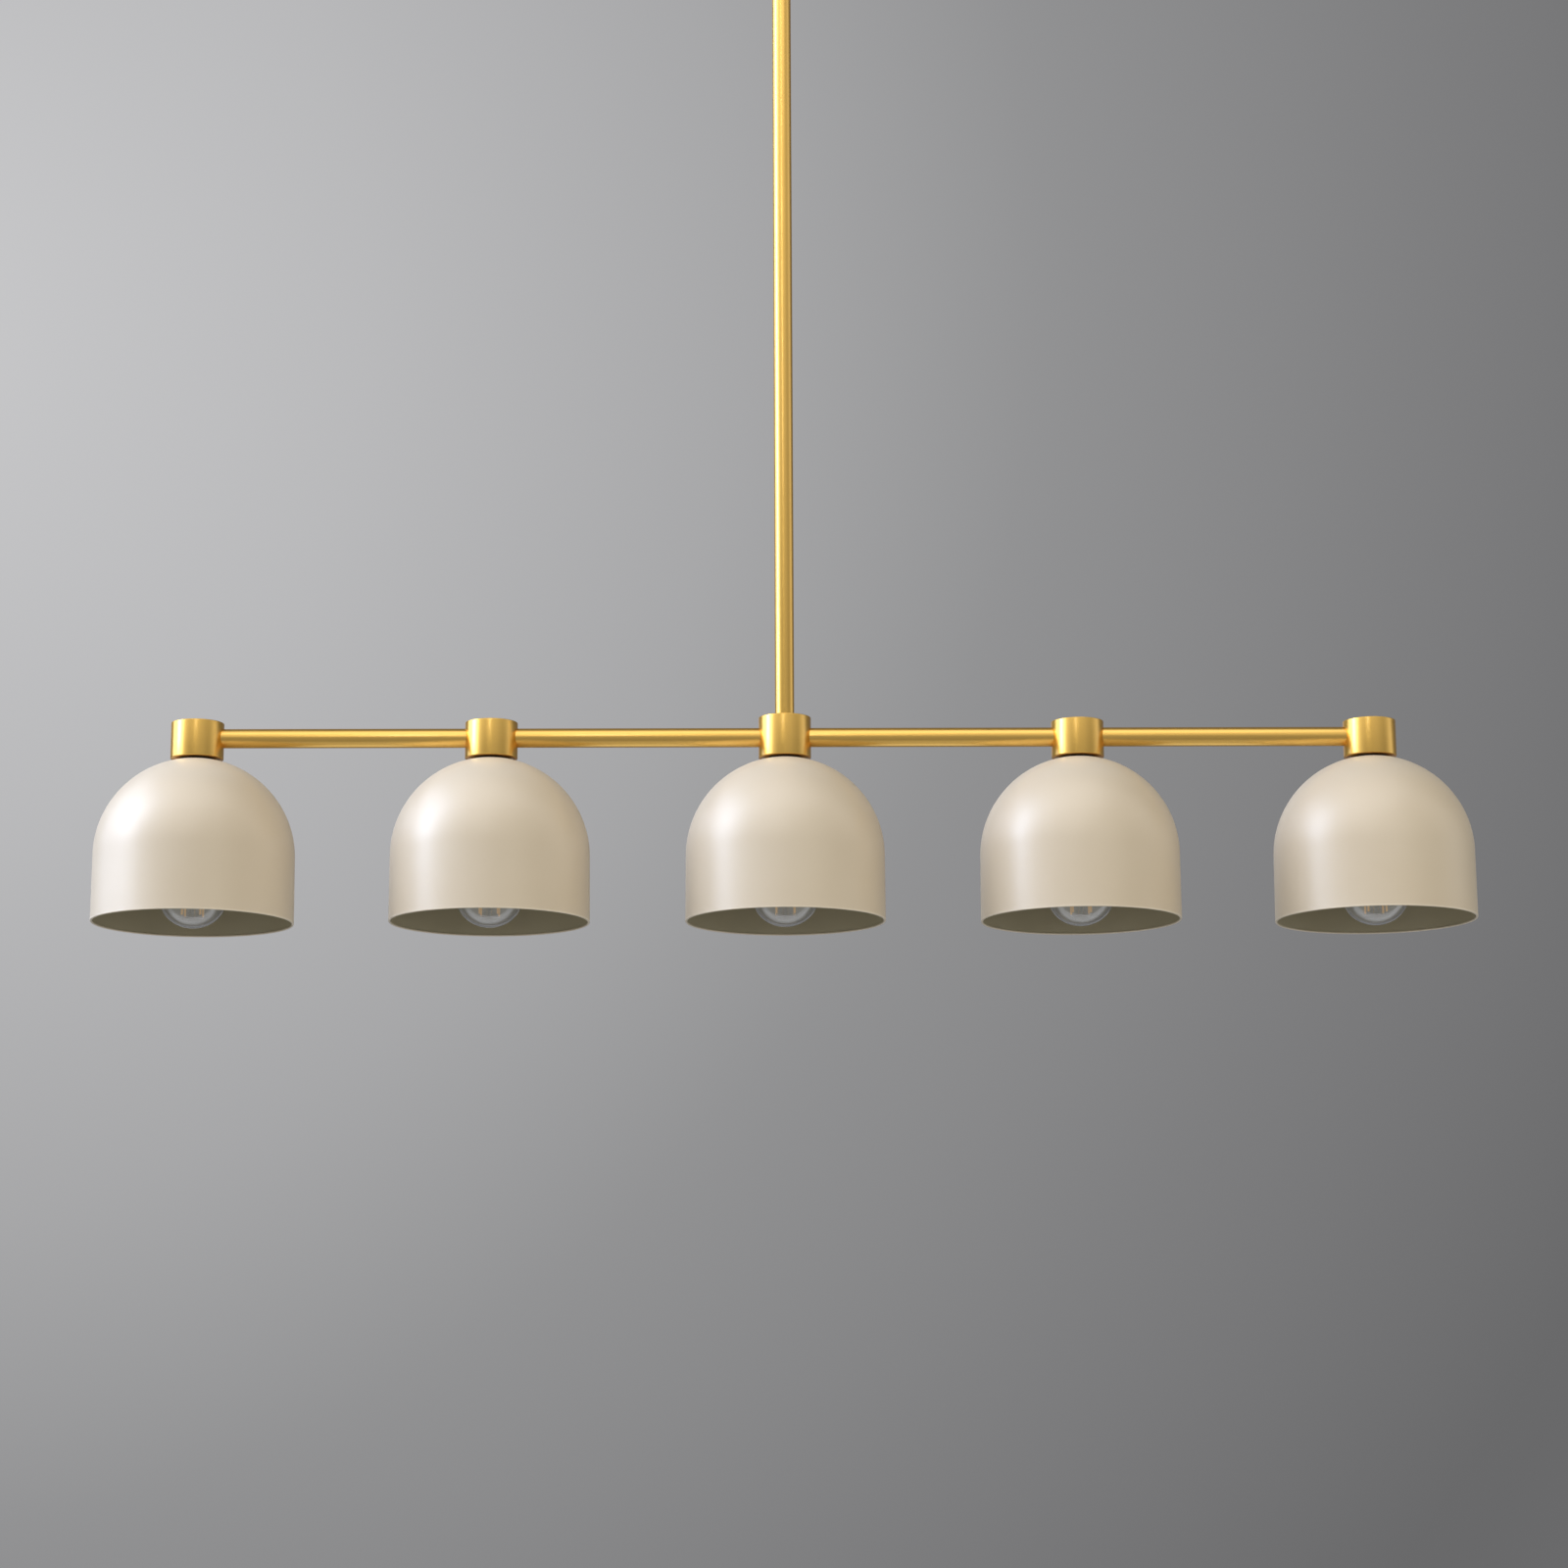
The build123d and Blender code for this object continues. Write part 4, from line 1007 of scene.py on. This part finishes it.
class PENDANT_OT_bulbs(bpy.types.Operator):
    """Blow the clear bulbs and fit their light sticks and screw caps"""

    bl_idname = "pendant.bulbs"
    bl_label = "Bulbs"

    WIRE_R = 0.3 * MM
    TAB_R = 0.35 * MM
    TAB_END = 0.4 * MM  # how far a stick's own wire stands past the arms' middle
    STICK_R = 0.9 * MM
    STICK_RING = 10.5 * MM  # from the bulb's axis to a stick's
    STICK_BARE = 1.2 * MM  # wire without coat at both ends of a stick
    ARM_START = 2.4 * MM  # from the bulb's axis, where the mount holds the upper arms

    def execute(self, context):
        bulbs = context.scene.pendant_bulbs
        low, length = upright("bulb_filaments_1")
        foot = low - BULB_Z + 2 * self.WIRE_R
        length -= 4 * self.WIRE_R
        envelope, top = self.envelope(bulbs)
        mount_profile = self.mount(bulbs, top, foot, foot + length)
        clear = finish_named("clear_glass")
        for lamp in LAMPS:
            at = (LAMP_X[lamp], 0, BULB_Z)
            shell = turned("envelope", envelope, clear, at, around=160)
            mount = turned("mount", mount_profile, clear, at, around=48)
            glass = joined(f"blown_glass_{lamp}", [shell, mount])
            seat(glass, f"bulb_{lamp}", f"bulb_glass_{lamp}")
            self.light_sticks(bulbs, lamp, foot, length)
            self.cap(bulbs, lamp)
        return {"FINISHED"}

    def envelope(self, settings):
        """The glass from its lowest point to its sealed top and back inside, and its height."""
        ball = radius("bulb_glass_1")
        neck = settings.neck_width / 2
        _, top = upright("bulb_glass_1")
        start = settings.neck_start
        curve = ((start - ball) ** 2 + neck**2 - ball**2) / (2 * (ball - neck))
        turn = math.degrees(math.atan2(start - ball, neck + curve))
        wall = settings.wall
        points = arc(0, ball, ball, -90, turn, 48)
        points += arc(neck + curve, start, curve, 180 + turn, 180, 24)
        points += [Vector((neck, top)), Vector((neck - wall, top))]
        points += arc(neck + curve, start, curve + wall, 180, 180 + turn, 24)
        points += arc(0, ball, ball - wall, turn, -90, 48)
        for end in (0, -1):
            points[end].x = 0
        return points, top

    def mount(self, settings, top, foot, head):
        """The glass mount: a flare sealed in the neck, a stem and a slim rod to the lower arms."""
        rod = 2.2 * MM
        stem = 4.2 * MM
        stem_end = top - 22 * MM
        flare = settings.neck_width / 2 - settings.wall - 0.05 * MM
        flare_end = top - 9 * MM
        corners = [
            (0, foot),
            (rod, foot, 0.5 * MM),
            (rod, head, 2 * MM),
            (stem, head + 4 * MM, 2 * MM),
            (stem, stem_end, 5 * MM),
            (flare, flare_end - 1 * MM, 2 * MM),
            (flare, flare_end),
            (flare - 0.8 * MM, flare_end),
            (stem - 1.2 * MM, stem_end + 2 * MM, 4 * MM),
            (0, stem_end),
        ]
        return rounded(corners)

    def pin(self, name, size, start, end, finish, edge=0.0, around=12, lay=None):
        """A slim round rod."""
        corners = [(0, start), (size, start, edge), (size, end, edge), (0, end)]
        return turned(name, rounded(corners), finish_named(finish), lay=lay, around=around)

    def light_sticks(self, bulbs, lamp, foot, length):
        """Coated sticks in a ring, each on its own wire between a lower and an upper arm."""
        ring, inner, bare = self.STICK_RING, self.ARM_START, self.STICK_BARE
        level = Matrix.Rotation(math.radians(90), 4, "Y")
        coat = {"edge": 0.35 * MM, "around": 20}
        stick = self.pin("stick", self.STICK_R, bare, length - bare, "filament", **coat)
        tab = self.pin("tab", self.TAB_R, -self.TAB_END, length + self.TAB_END, "wire")
        arm = self.pin("arm", self.WIRE_R, 0, ring, "wire", lay=level)
        head_arm = self.pin("head_arm", self.WIRE_R, 0, ring - inner, "wire", lay=level)
        settings = {"Ring Count": bulbs.stick_count, "First Turn": math.pi / bulbs.stick_count}
        for part, finish, distance, height in (
            (stick, "filament", ring, 0.0),
            (tab, "wire", ring, 0.0),
            (arm, "wire", 0.0, 0.0),
            (head_arm, "wire", inner, length),
        ):
            settings.update({"Ring Radius": distance, "Finish": finish_named(finish)})
            grown(part, "Ring Of Copies", settings)
            place = Vector((LAMP_X[lamp], 0, BULB_Z + foot + height))
            part.data.transform(Matrix.Translation(place))
        sticks = joined(f"light_sticks_{lamp}", [stick, tab, arm, head_arm])
        seat(sticks, f"bulb_{lamp}", f"bulb_filaments_{lamp}")

    def cap(self, bulbs, lamp):
        """Rolled screw sleeve, shoulder, black insulator and contact button."""
        low, top = upright(f"bulb_cap_{lamp}")
        at = (LAMP_X[lamp], 0, low)
        size = radius(f"bulb_cap_{lamp}")
        face = top - 1.5 * MM
        shoulder = face - 4 * MM
        nickel = finish_named("nickel_cap")
        sleeve = threaded(
            "sleeve", nickel, at, size, shoulder,
            depth=bulbs.thread_depth, wall=0.35 * MM, fade=3 * MM,
        )
        cone = [
            (9.5 * MM, face - 1.2 * MM),
            (size, shoulder, 0.6 * MM),
            (size - 0.5 * MM, shoulder - 1.5 * MM),
            (8.6 * MM, face - 1.9 * MM),
        ]
        insulator = [
            (0, face - 3 * MM),
            (9.8 * MM, face - 2.2 * MM),
            (9.4 * MM, face - 1.1 * MM, 0.6 * MM),
            (4.6 * MM, face + 0.2 * MM, 0.5 * MM),
            (0, face + 0.2 * MM),
        ]
        contact = [
            (0, face),
            (4.4 * MM, face, 0.3 * MM),
            (3.4 * MM, top - 0.5 * MM, 0.8 * MM),
            (0, top),
        ]
        parts = [
            sleeve,
            turned("cone", rounded(cone), nickel, at, around=96),
            turned("insulator", rounded(insulator), finish_named("insulator"), at, around=96),
            turned("contact", rounded(contact), finish_named("solder"), at, around=64),
        ]
        seat(joined(f"screw_cap_{lamp}", parts), f"bulb_{lamp}", f"bulb_cap_{lamp}")


class PENDANT_OT_sockets(bpy.types.Operator):
    """Make the porcelain sockets with their caps and screw shells"""

    bl_idname = "pendant.sockets"
    bl_label = "Sockets"

    def execute(self, context):
        outer = row_radius("socket_bodies")
        shell_r = row_radius("socket_shells")
        self.bodies(outer, shell_r)
        self.caps(outer, context.scene.pendant_sockets.bead)
        self.shells(shell_r)
        return {"FINISHED"}

    def bodies(self, outer, shell_r):
        """Porcelain barrels, each with a bore for its screw shell and a boss on top."""
        low, boss_top = upright("socket_bodies")
        barrel_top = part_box("socket_caps")[0].z - low
        floor = barrel_top - 8 * MM
        bore = shell_r + 0.05 * MM
        seat_r = outer - 0.5 * MM
        boss_r = 15 * MM
        barrel = [
            (bore, 0, 1 * MM),
            (outer, 0, 2 * MM),
            (outer, barrel_top - 1.2 * MM),
            (seat_r, barrel_top - 0.8 * MM, 0.2 * MM),
            (seat_r, barrel_top),
            (boss_r, barrel_top),
            (boss_r, boss_top, 0.6 * MM),
            (0, boss_top),
            (0, floor),
            (bore, floor, 0.8 * MM),
        ]
        bodies = turned(
            "porcelain_sockets", rounded(barrel), finish_named("porcelain"),
            at=(LAMP_X[1], 0, low), around=96, Copies=len(LAMPS),
        )
        seat(bodies, FIXTURE, "socket_bodies")

    def caps(self, outer, depth):
        """Brass caps on the barrels, with two beads rolled into each."""
        low, height = upright("socket_caps")
        wall = 0.8 * MM
        roof = height - 1.5 * MM
        hole = 5.05 * MM
        cap = [
            (outer - wall, 0),
            (outer, 0, 0.3 * MM),
            *self.bead(outer, depth, 1.6 * MM),
            *self.bead(outer, depth, height - 5.4 * MM),
            (outer, height, 1.5 * MM),
            (hole, height, 0.2 * MM),
            (hole, roof),
            (outer - wall, roof),
        ]
        caps = turned(
            "beaded_socket_caps", rounded(cap), finish_named("socket_brass"),
            at=(LAMP_X[1], 0, low), around=96, Copies=len(LAMPS),
        )
        seat(caps, FIXTURE, "socket_caps")

    def shells(self, shell_r):
        """Screw shells that take the bulbs' caps."""
        low, height = upright("socket_shells")
        shells = threaded(
            "socket_threads", finish_named("contact_brass"), (LAMP_X[1], 0, low), shell_r, height,
            depth=0.35 * MM, wall=0.25 * MM, fade=1.5 * MM, Copies=len(LAMPS),
        )
        seat(shells, FIXTURE, "socket_shells")

    def bead(self, outer, depth, start):
        """Corners of a bead rolled into the outside, from a height upwards."""
        half = 0.8 * MM
        return [
            (outer, start, 0.3 * MM),
            (outer - depth, start + half, 0.5 * MM),
            (outer, start + 2 * half, 0.3 * MM),
        ]


class PENDANT_OT_ceiling(bpy.types.Operator):
    """Make the canopy, its cap nuts and the swivel"""

    bl_idname = "pendant.ceiling"
    bl_label = "Ceiling end"

    def execute(self, context):
        ceiling = context.scene.pendant_ceiling
        self.canopy(ceiling)
        self.cap_nuts(ceiling)
        self.swivel()
        return {"FINISHED"}

    def canopy(self, ceiling):
        """A spun pan with a rounded edge and a hole for the swivel."""
        low, height = upright("canopy")
        outer = radius("canopy")
        wall = ceiling.wall
        hole = radius("swivel_body") + 0.5 * MM
        profile = [
            (hole, 0, 0.3 * MM),
            (outer, 0, ceiling.edge),
            (outer, height, 0.4 * MM),
            (outer - wall, height, 0.4 * MM),
            (outer - wall, wall, ceiling.edge - wall),
            (hole, wall),
        ]
        brass = finish_named("turned_brass")
        canopy = turned("spun_canopy", rounded(profile), brass, (0, 0, low), around=192)
        seat(canopy, "root", "canopy")

    def cap_nuts(self, ceiling):
        """Two domed nuts with a knurled band."""
        low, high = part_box("canopy_cap_nuts")
        size = (high.y - low.y) / 2
        height = high.z - low.z
        dome_h = 4 * MM
        profile = [Vector((0, 0, 0))]
        for point in arc(0, 0, 1, -88, 0, 12):
            profile.append(Vector((point.x * size, (point.y + 1) * dome_h, 0)))
        for above, flute in ((0.4, 0.0), (0.7, 1.0), (4.0, 1.0), (4.4, 0.0)):
            profile.append(Vector((size, dome_h + above * MM, flute)))
        profile += [Vector((size - 0.25 * MM, height, 0)), Vector((0, height, 0))]
        nuts = turned(
            "knurled_cap_nuts",
            profile,
            finish_named("turned_brass"),
            at=(low.x + size, 0, low.z),
            around=8 * ceiling.knurls,
            Copies=2,
            Spacing=high.x - low.x - 2 * size,
            Flutes=ceiling.knurls,
            **{"Flute Depth": ceiling.knurl_depth},
        )
        seat(nuts, "root", "canopy_cap_nuts")

    def swivel(self):
        """The swivel's housing, in a body and a cap, and the ball in it."""
        brass = finish_named("turned_brass")
        size = radius("swivel_body")
        low, height = upright("swivel_body")
        bowl = 11.8 * MM
        drop = BALL_Z - low
        mouth = math.asin(drop / bowl)
        outside = [
            (bowl * math.cos(mouth), 0),
            (size, 0, 0.8 * MM),
            (size, height, 0.25 * MM),
            (bowl, height),
        ]
        profile = rounded(outside)[:-1] + arc(0, drop, bowl, 0, -math.degrees(mouth), 16)
        body = turned("turned_swivel_body", profile, brass, (0, 0, low))
        seat(body, "swivel", "swivel_body")

        low, height = upright("swivel_cap")
        bore, inner, outer, spigot = 5.08 * MM, 10.5 * MM, 11.7 * MM, 3 * MM
        profile = [
            (bore, spigot),
            (inner, spigot),
            (inner, 0, 0.2 * MM),
            (outer, 0, 0.2 * MM),
            (outer, spigot),
            (size, spigot, 0.25 * MM),
            (size, height, 0.8 * MM),
            (bore, height),
        ]
        cap = turned("turned_swivel_cap", rounded(profile), brass, (0, 0, low))
        seat(cap, "swivel", "swivel_cap")

        low, _ = upright("swivel_ball")
        ball_r = radius("swivel_ball")
        neck, bore, edge = 5.0 * MM, 3.25 * MM, 0.3 * MM
        neck_angle = math.degrees(math.acos(neck / ball_r))
        bore_angle = math.degrees(math.acos(bore / ball_r))
        points = [Vector((bore, 0)), Vector((neck - edge, 0)), Vector((neck, edge))]
        points += arc(0, BALL_Z - low, ball_r, -neck_angle, bore_angle, 40)
        points += [Vector((bore, 0))]
        ball = turned("polished_ball", points, brass, (0, 0, low), around=96)
        seat(ball, FIXTURE, "swivel_ball")


class PENDANT_OT_fittings(bpy.types.Operator):
    """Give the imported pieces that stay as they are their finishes"""

    bl_idname = "pendant.fittings"
    bl_label = "Fittings and wiring"

    def execute(self, context):
        special = {"hub_plates": "turned_brass", "stem_bush": "turned_brass"}
        slots = {part["node"]: part["material_slot"] for part in frame["record"]["subparts"]}
        for name, node in frame["nodes"].items():
            if node.hide_render:
                continue
            finish = finish_named(special.get(name, slots[name]))
            node.data.materials.clear()
            node.data.materials.append(finish)
        return {"FINISHED"}


class PENDANT_OT_studio(bpy.types.Operator):
    """Set up the camera, the lights, the backdrop and the floor"""

    bl_idname = "pendant.studio"
    bl_label = "Studio"

    FLOOR_R = 9.0

    # The photograph's view was fitted to the hubs, the bar and the rims.
    PHOTO_WIDTH = 1600  # pixels
    SENSOR, LENS = 36.0, 77.05  # millimetres
    CAMERA_PLACE = (-0.0352, -2.7337, -1.364)
    YAW, TILT, ROLL = 0.01259, 0.18577, -0.00456

    # The studio is brightest at this many pixels right of and above the middle of the view. These
    # are its tones by the angle from there, in degrees: first what the camera sees of it, then what
    # the brass and the glass see.
    BRIGHT_SPOT = (-1000, 500)
    BRIGHT = ((0.0, 0.60), (9.0, 0.49), (15.6, 0.385), (20.6, 0.285), (27.0, 0.21), (34.0, 0.14))
    BACKDROP = (*BRIGHT, (50.0, 0.17), (80.0, 0.24), (120.0, 0.30), (180.0, 0.33))
    REFLECTED = (
        *BRIGHT, (42.0, 0.24), (56.0, 0.16), (82.0, 0.20), (98.0, 1.0), (112.0, 0.62),
        (130.0, 0.26), (146.0, 0.30), (160.0, 0.40), (180.0, 0.30),
    )

    def execute(self, context):
        studio = context.scene.pendant_studio
        camera = self.camera()
        self.backdrop(studio, camera)
        self.floor(studio)
        centre = Vector((0, 0, (HUB_Z + RIM_Z) / 2))
        cool, white, warm = (0.86, 0.975, 1.22), (1.0, 0.985, 0.965), (1.0, 0.95, 0.83)
        for name, place, size, power, color, on_metal in (
            ("key", (-2.9, -0.1, 0.6), (3.4, 3.0), studio.key_power, cool, True),
            ("window", (-2.8, -0.5, 0.4), (0.8, 1.8), studio.window_power, cool, True),
            ("wash", (-2.5, -1.1, 1.2), (2.0, 2.0), studio.wash_power, cool, False),
            ("top", (-0.2, -1.2, 1.5), (3.2, 2.4), studio.top_power, white, True),
            ("fill", (-0.45, -3.3, 0.8), (0.36, 1.4), studio.fill_power, white, True),
            ("side", (1.6, -3.0, -0.3), (2.0, 2.0), studio.side_power, warm, False),
        ):
            light = self.softbox(name, centre, place, size, power, color)
            light.visible_glossy = on_metal
        context.scene.view_settings.view_transform = "Standard"
        return {"FINISHED"}

    def camera(self):
        """The photograph's view."""
        data = bpy.data.cameras.new("view")
        data.sensor_width = self.SENSOR
        data.lens = self.LENS
        camera = set_down("view", data)
        camera.location = self.CAMERA_PLACE
        level = Matrix.Rotation(-self.YAW, 3, "Z")
        level @= Matrix.Rotation(math.pi / 2 + self.TILT, 3, "X")
        camera.rotation_euler = (level @ Matrix.Rotation(self.ROLL, 3, "Z")).to_euler()
        bpy.context.scene.camera = camera
        bpy.context.view_layer.update()
        return camera

    def backdrop(self, studio, camera):
        """A grey backdrop for what looks past the lamp, and even light for everything else."""
        world = bpy.data.worlds.new("studio")
        world.use_nodes = True
        tree = world.node_tree
        tree.nodes.clear()
        across, up = self.BRIGHT_SPOT
        focal = self.LENS / self.SENSOR * self.PHOTO_WIDTH
        bright = Vector((across / focal, up / focal, -1)).normalized()
        bright = camera.matrix_world.to_3x3() @ bright
        direction = add_node(tree, "ShaderNodeTexCoord").outputs["Generated"]
        aim = dot_product(tree, direction, bright)
        degrees = calc(tree, "MULTIPLY", calc(tree, "ARCCOSINE", aim), 180 / math.pi)
        ray = add_node(tree, "ShaderNodeLightPath").outputs
        mirrored = calc(tree, "MAXIMUM", ray["Is Glossy Ray"], ray["Is Transmission Ray"])
        seen = calc(tree, "MAXIMUM", ray["Is Camera Ray"], mirrored)
        plain = self.tones(tree, degrees, self.BACKDROP)
        tone = blend_colors(tree, mirrored, plain, self.tones(tree, degrees, self.REFLECTED))
        even = add_node(
            tree, "ShaderNodeBackground", {"Color": (1, 1, 0.9, 1), "Strength": studio.ambient}
        )
        toward = parts_of(tree, direction)
        level = spread(tree, toward["Z"], 0.0, studio.wall_tone, 0.06, 0.3)
        wall = calc(tree, "MULTIPLY", level, spread(tree, toward["Y"], 1.0, 0.0, -0.9, -0.3))
        wall = calc(tree, "MULTIPLY", wall, ray["Is Glossy Ray"])
        tone = blend_colors(tree, wall, tone, (0.95, 0.93, 0.9))
        shown = add_node(tree, "ShaderNodeBackground", {"Color": tone, "Strength": 1.0})
        mix = add_node(
            tree, "ShaderNodeMixShader", {0: seen, 1: even.outputs[0], 2: shown.outputs[0]}
        )
        add_node(tree, "ShaderNodeOutputWorld", {"Surface": mix.outputs[0]})
        bpy.context.scene.world = world

    def tones(self, tree, degrees, table):
        """Greys by an angle, from a table of angles and tones."""
        last = table[-1][0]
        ramp = add_node(tree, "ShaderNodeValToRGB", {"Fac": calc(tree, "DIVIDE", degrees, last)})
        stops = ramp.color_ramp.elements
        for number, (angle, tone) in enumerate(table):
            stop = stops[number] if number < 2 else stops.new(angle / last)
            stop.position = angle / last
            stop.color = (tone, tone, tone * 1.02, 1)
        return ramp.outputs[0]

    def floor(self, studio):
        """A plain pale floor that fades into the backdrop; the brass sees other tones of it."""
        work = bmesh.new()
        bmesh.ops.create_circle(work, cap_ends=True, segments=96, radius=self.FLOOR_R)
        floor = set_down("floor", kept_mesh(work, bpy.data.meshes.new("floor")))
        floor.data.transform(Matrix.Translation((0, 0, studio.floor_depth)))
        finish, tree, shader = new_finish("pale_floor", (0.68, 0.68, 0.66), 0.0, 0.8)
        floor.data.materials.append(finish)
        place, part = object_place(tree)
        worn = noise(tree, place, 1.5, 4.0)
        tone = blend_colors(tree, worn, (0.66, 0.66, 0.64), (0.70, 0.70, 0.68))
        tree.links.new(tone, shader.inputs["Base Color"])
        behind = spread(tree, part["Y"], 0.0, 1.0, 0.5, 0.9)
        shine = blend_colors(tree, behind, (0.52, 0.52, 0.53), (0.86, 0.88, 0.94))
        far = spread(tree, calc(tree, "ABSOLUTE", part["Y"]), 0.0, 1.0, 2.4, 4.6)
        shine = blend_colors(tree, far, shine, (0.24, 0.24, 0.25))
        glow = add_node(tree, "ShaderNodeEmission", {"Color": shine}).outputs[0]
        glossy = add_node(tree, "ShaderNodeLightPath").outputs["Is Glossy Ray"]
        plain = add_node(tree, "ShaderNodeMixShader", {0: glossy, 1: shader.outputs[0], 2: glow})
        out = from_axis(tree, part["X"], part["Y"])
        gone = spread(tree, out, 0.0, 1.0, self.FLOOR_R / 2, self.FLOOR_R - 0.2)
        clear = add_node(tree, "ShaderNodeBsdfTransparent").outputs[0]
        faded = add_node(tree, "ShaderNodeMixShader", {0: gone, 1: plain.outputs[0], 2: clear})
        tree.links.new(faded.outputs[0], tree.nodes["Material Output"].inputs["Surface"])

    def softbox(self, name, target, place, size, power, color):
        """A soft light aimed at the lamps."""
        data = bpy.data.lights.new(name, "AREA")
        data.shape = "RECTANGLE"
        data.size, data.size_y = size
        data.energy = power
        data.color = color
        light = set_down(name, data)
        light.location = place
        light.rotation_euler = (target - Vector(place)).to_track_quat("-Z", "Y").to_euler()
        light.visible_camera = False
        return light


class PENDANT_PT_panel(bpy.types.Panel):
    """Panel that lists the pendant's pieces"""

    bl_idname = "PENDANT_PT_panel"
    bl_label = "Linear island pendant"
    bl_space_type = "VIEW_3D"
    bl_region_type = "UI"
    bl_category = "Pendant"

    def draw(self, context):
        layout = self.layout
        for group, operators in STEPS:
            box = layout.box()
            if group:
                settings = getattr(context.scene, group)
                for name in settings.bl_rna.properties.keys():
                    if name not in ("rna_type", "name"):
                        box.prop(settings, name)
            for operator in operators:
                box.operator(operator.bl_idname)


SETTINGS = {
    "pendant_brass": BrassSettings,
    "pendant_shades": ShadeSettings,
    "pendant_bulbs": BulbSettings,
    "pendant_sockets": SocketSettings,
    "pendant_ceiling": CeilingSettings,
    "pendant_studio": StudioSettings,
}
STEPS = (
    ("pendant_shades", (PENDANT_OT_shades,)),
    ("pendant_brass", (PENDANT_OT_bar,)),
    ("pendant_bulbs", (PENDANT_OT_bulbs,)),
    ("pendant_sockets", (PENDANT_OT_sockets,)),
    ("pendant_ceiling", (PENDANT_OT_ceiling,)),
    (None, (PENDANT_OT_fittings,)),
    ("pendant_studio", (PENDANT_OT_studio,)),
)
OPERATORS = tuple(operator for _, operators in STEPS for operator in operators)


def register():
    for settings in SETTINGS.values():
        bpy.utils.register_class(settings)
    for name, settings in SETTINGS.items():
        setattr(bpy.types.Scene, name, PointerProperty(type=settings))
    for operator in OPERATORS:
        bpy.utils.register_class(operator)
    bpy.utils.register_class(PENDANT_PT_panel)


def unregister():
    bpy.utils.unregister_class(PENDANT_PT_panel)
    for operator in reversed(OPERATORS):
        bpy.utils.unregister_class(operator)
    for name, settings in SETTINGS.items():
        delattr(bpy.types.Scene, name)
        bpy.utils.unregister_class(settings)


def main():
    register()
    for operator in OPERATORS:
        group, name = operator.bl_idname.split(".")
        getattr(getattr(bpy.ops, group), name)()


if __name__ == "__main__":
    main()
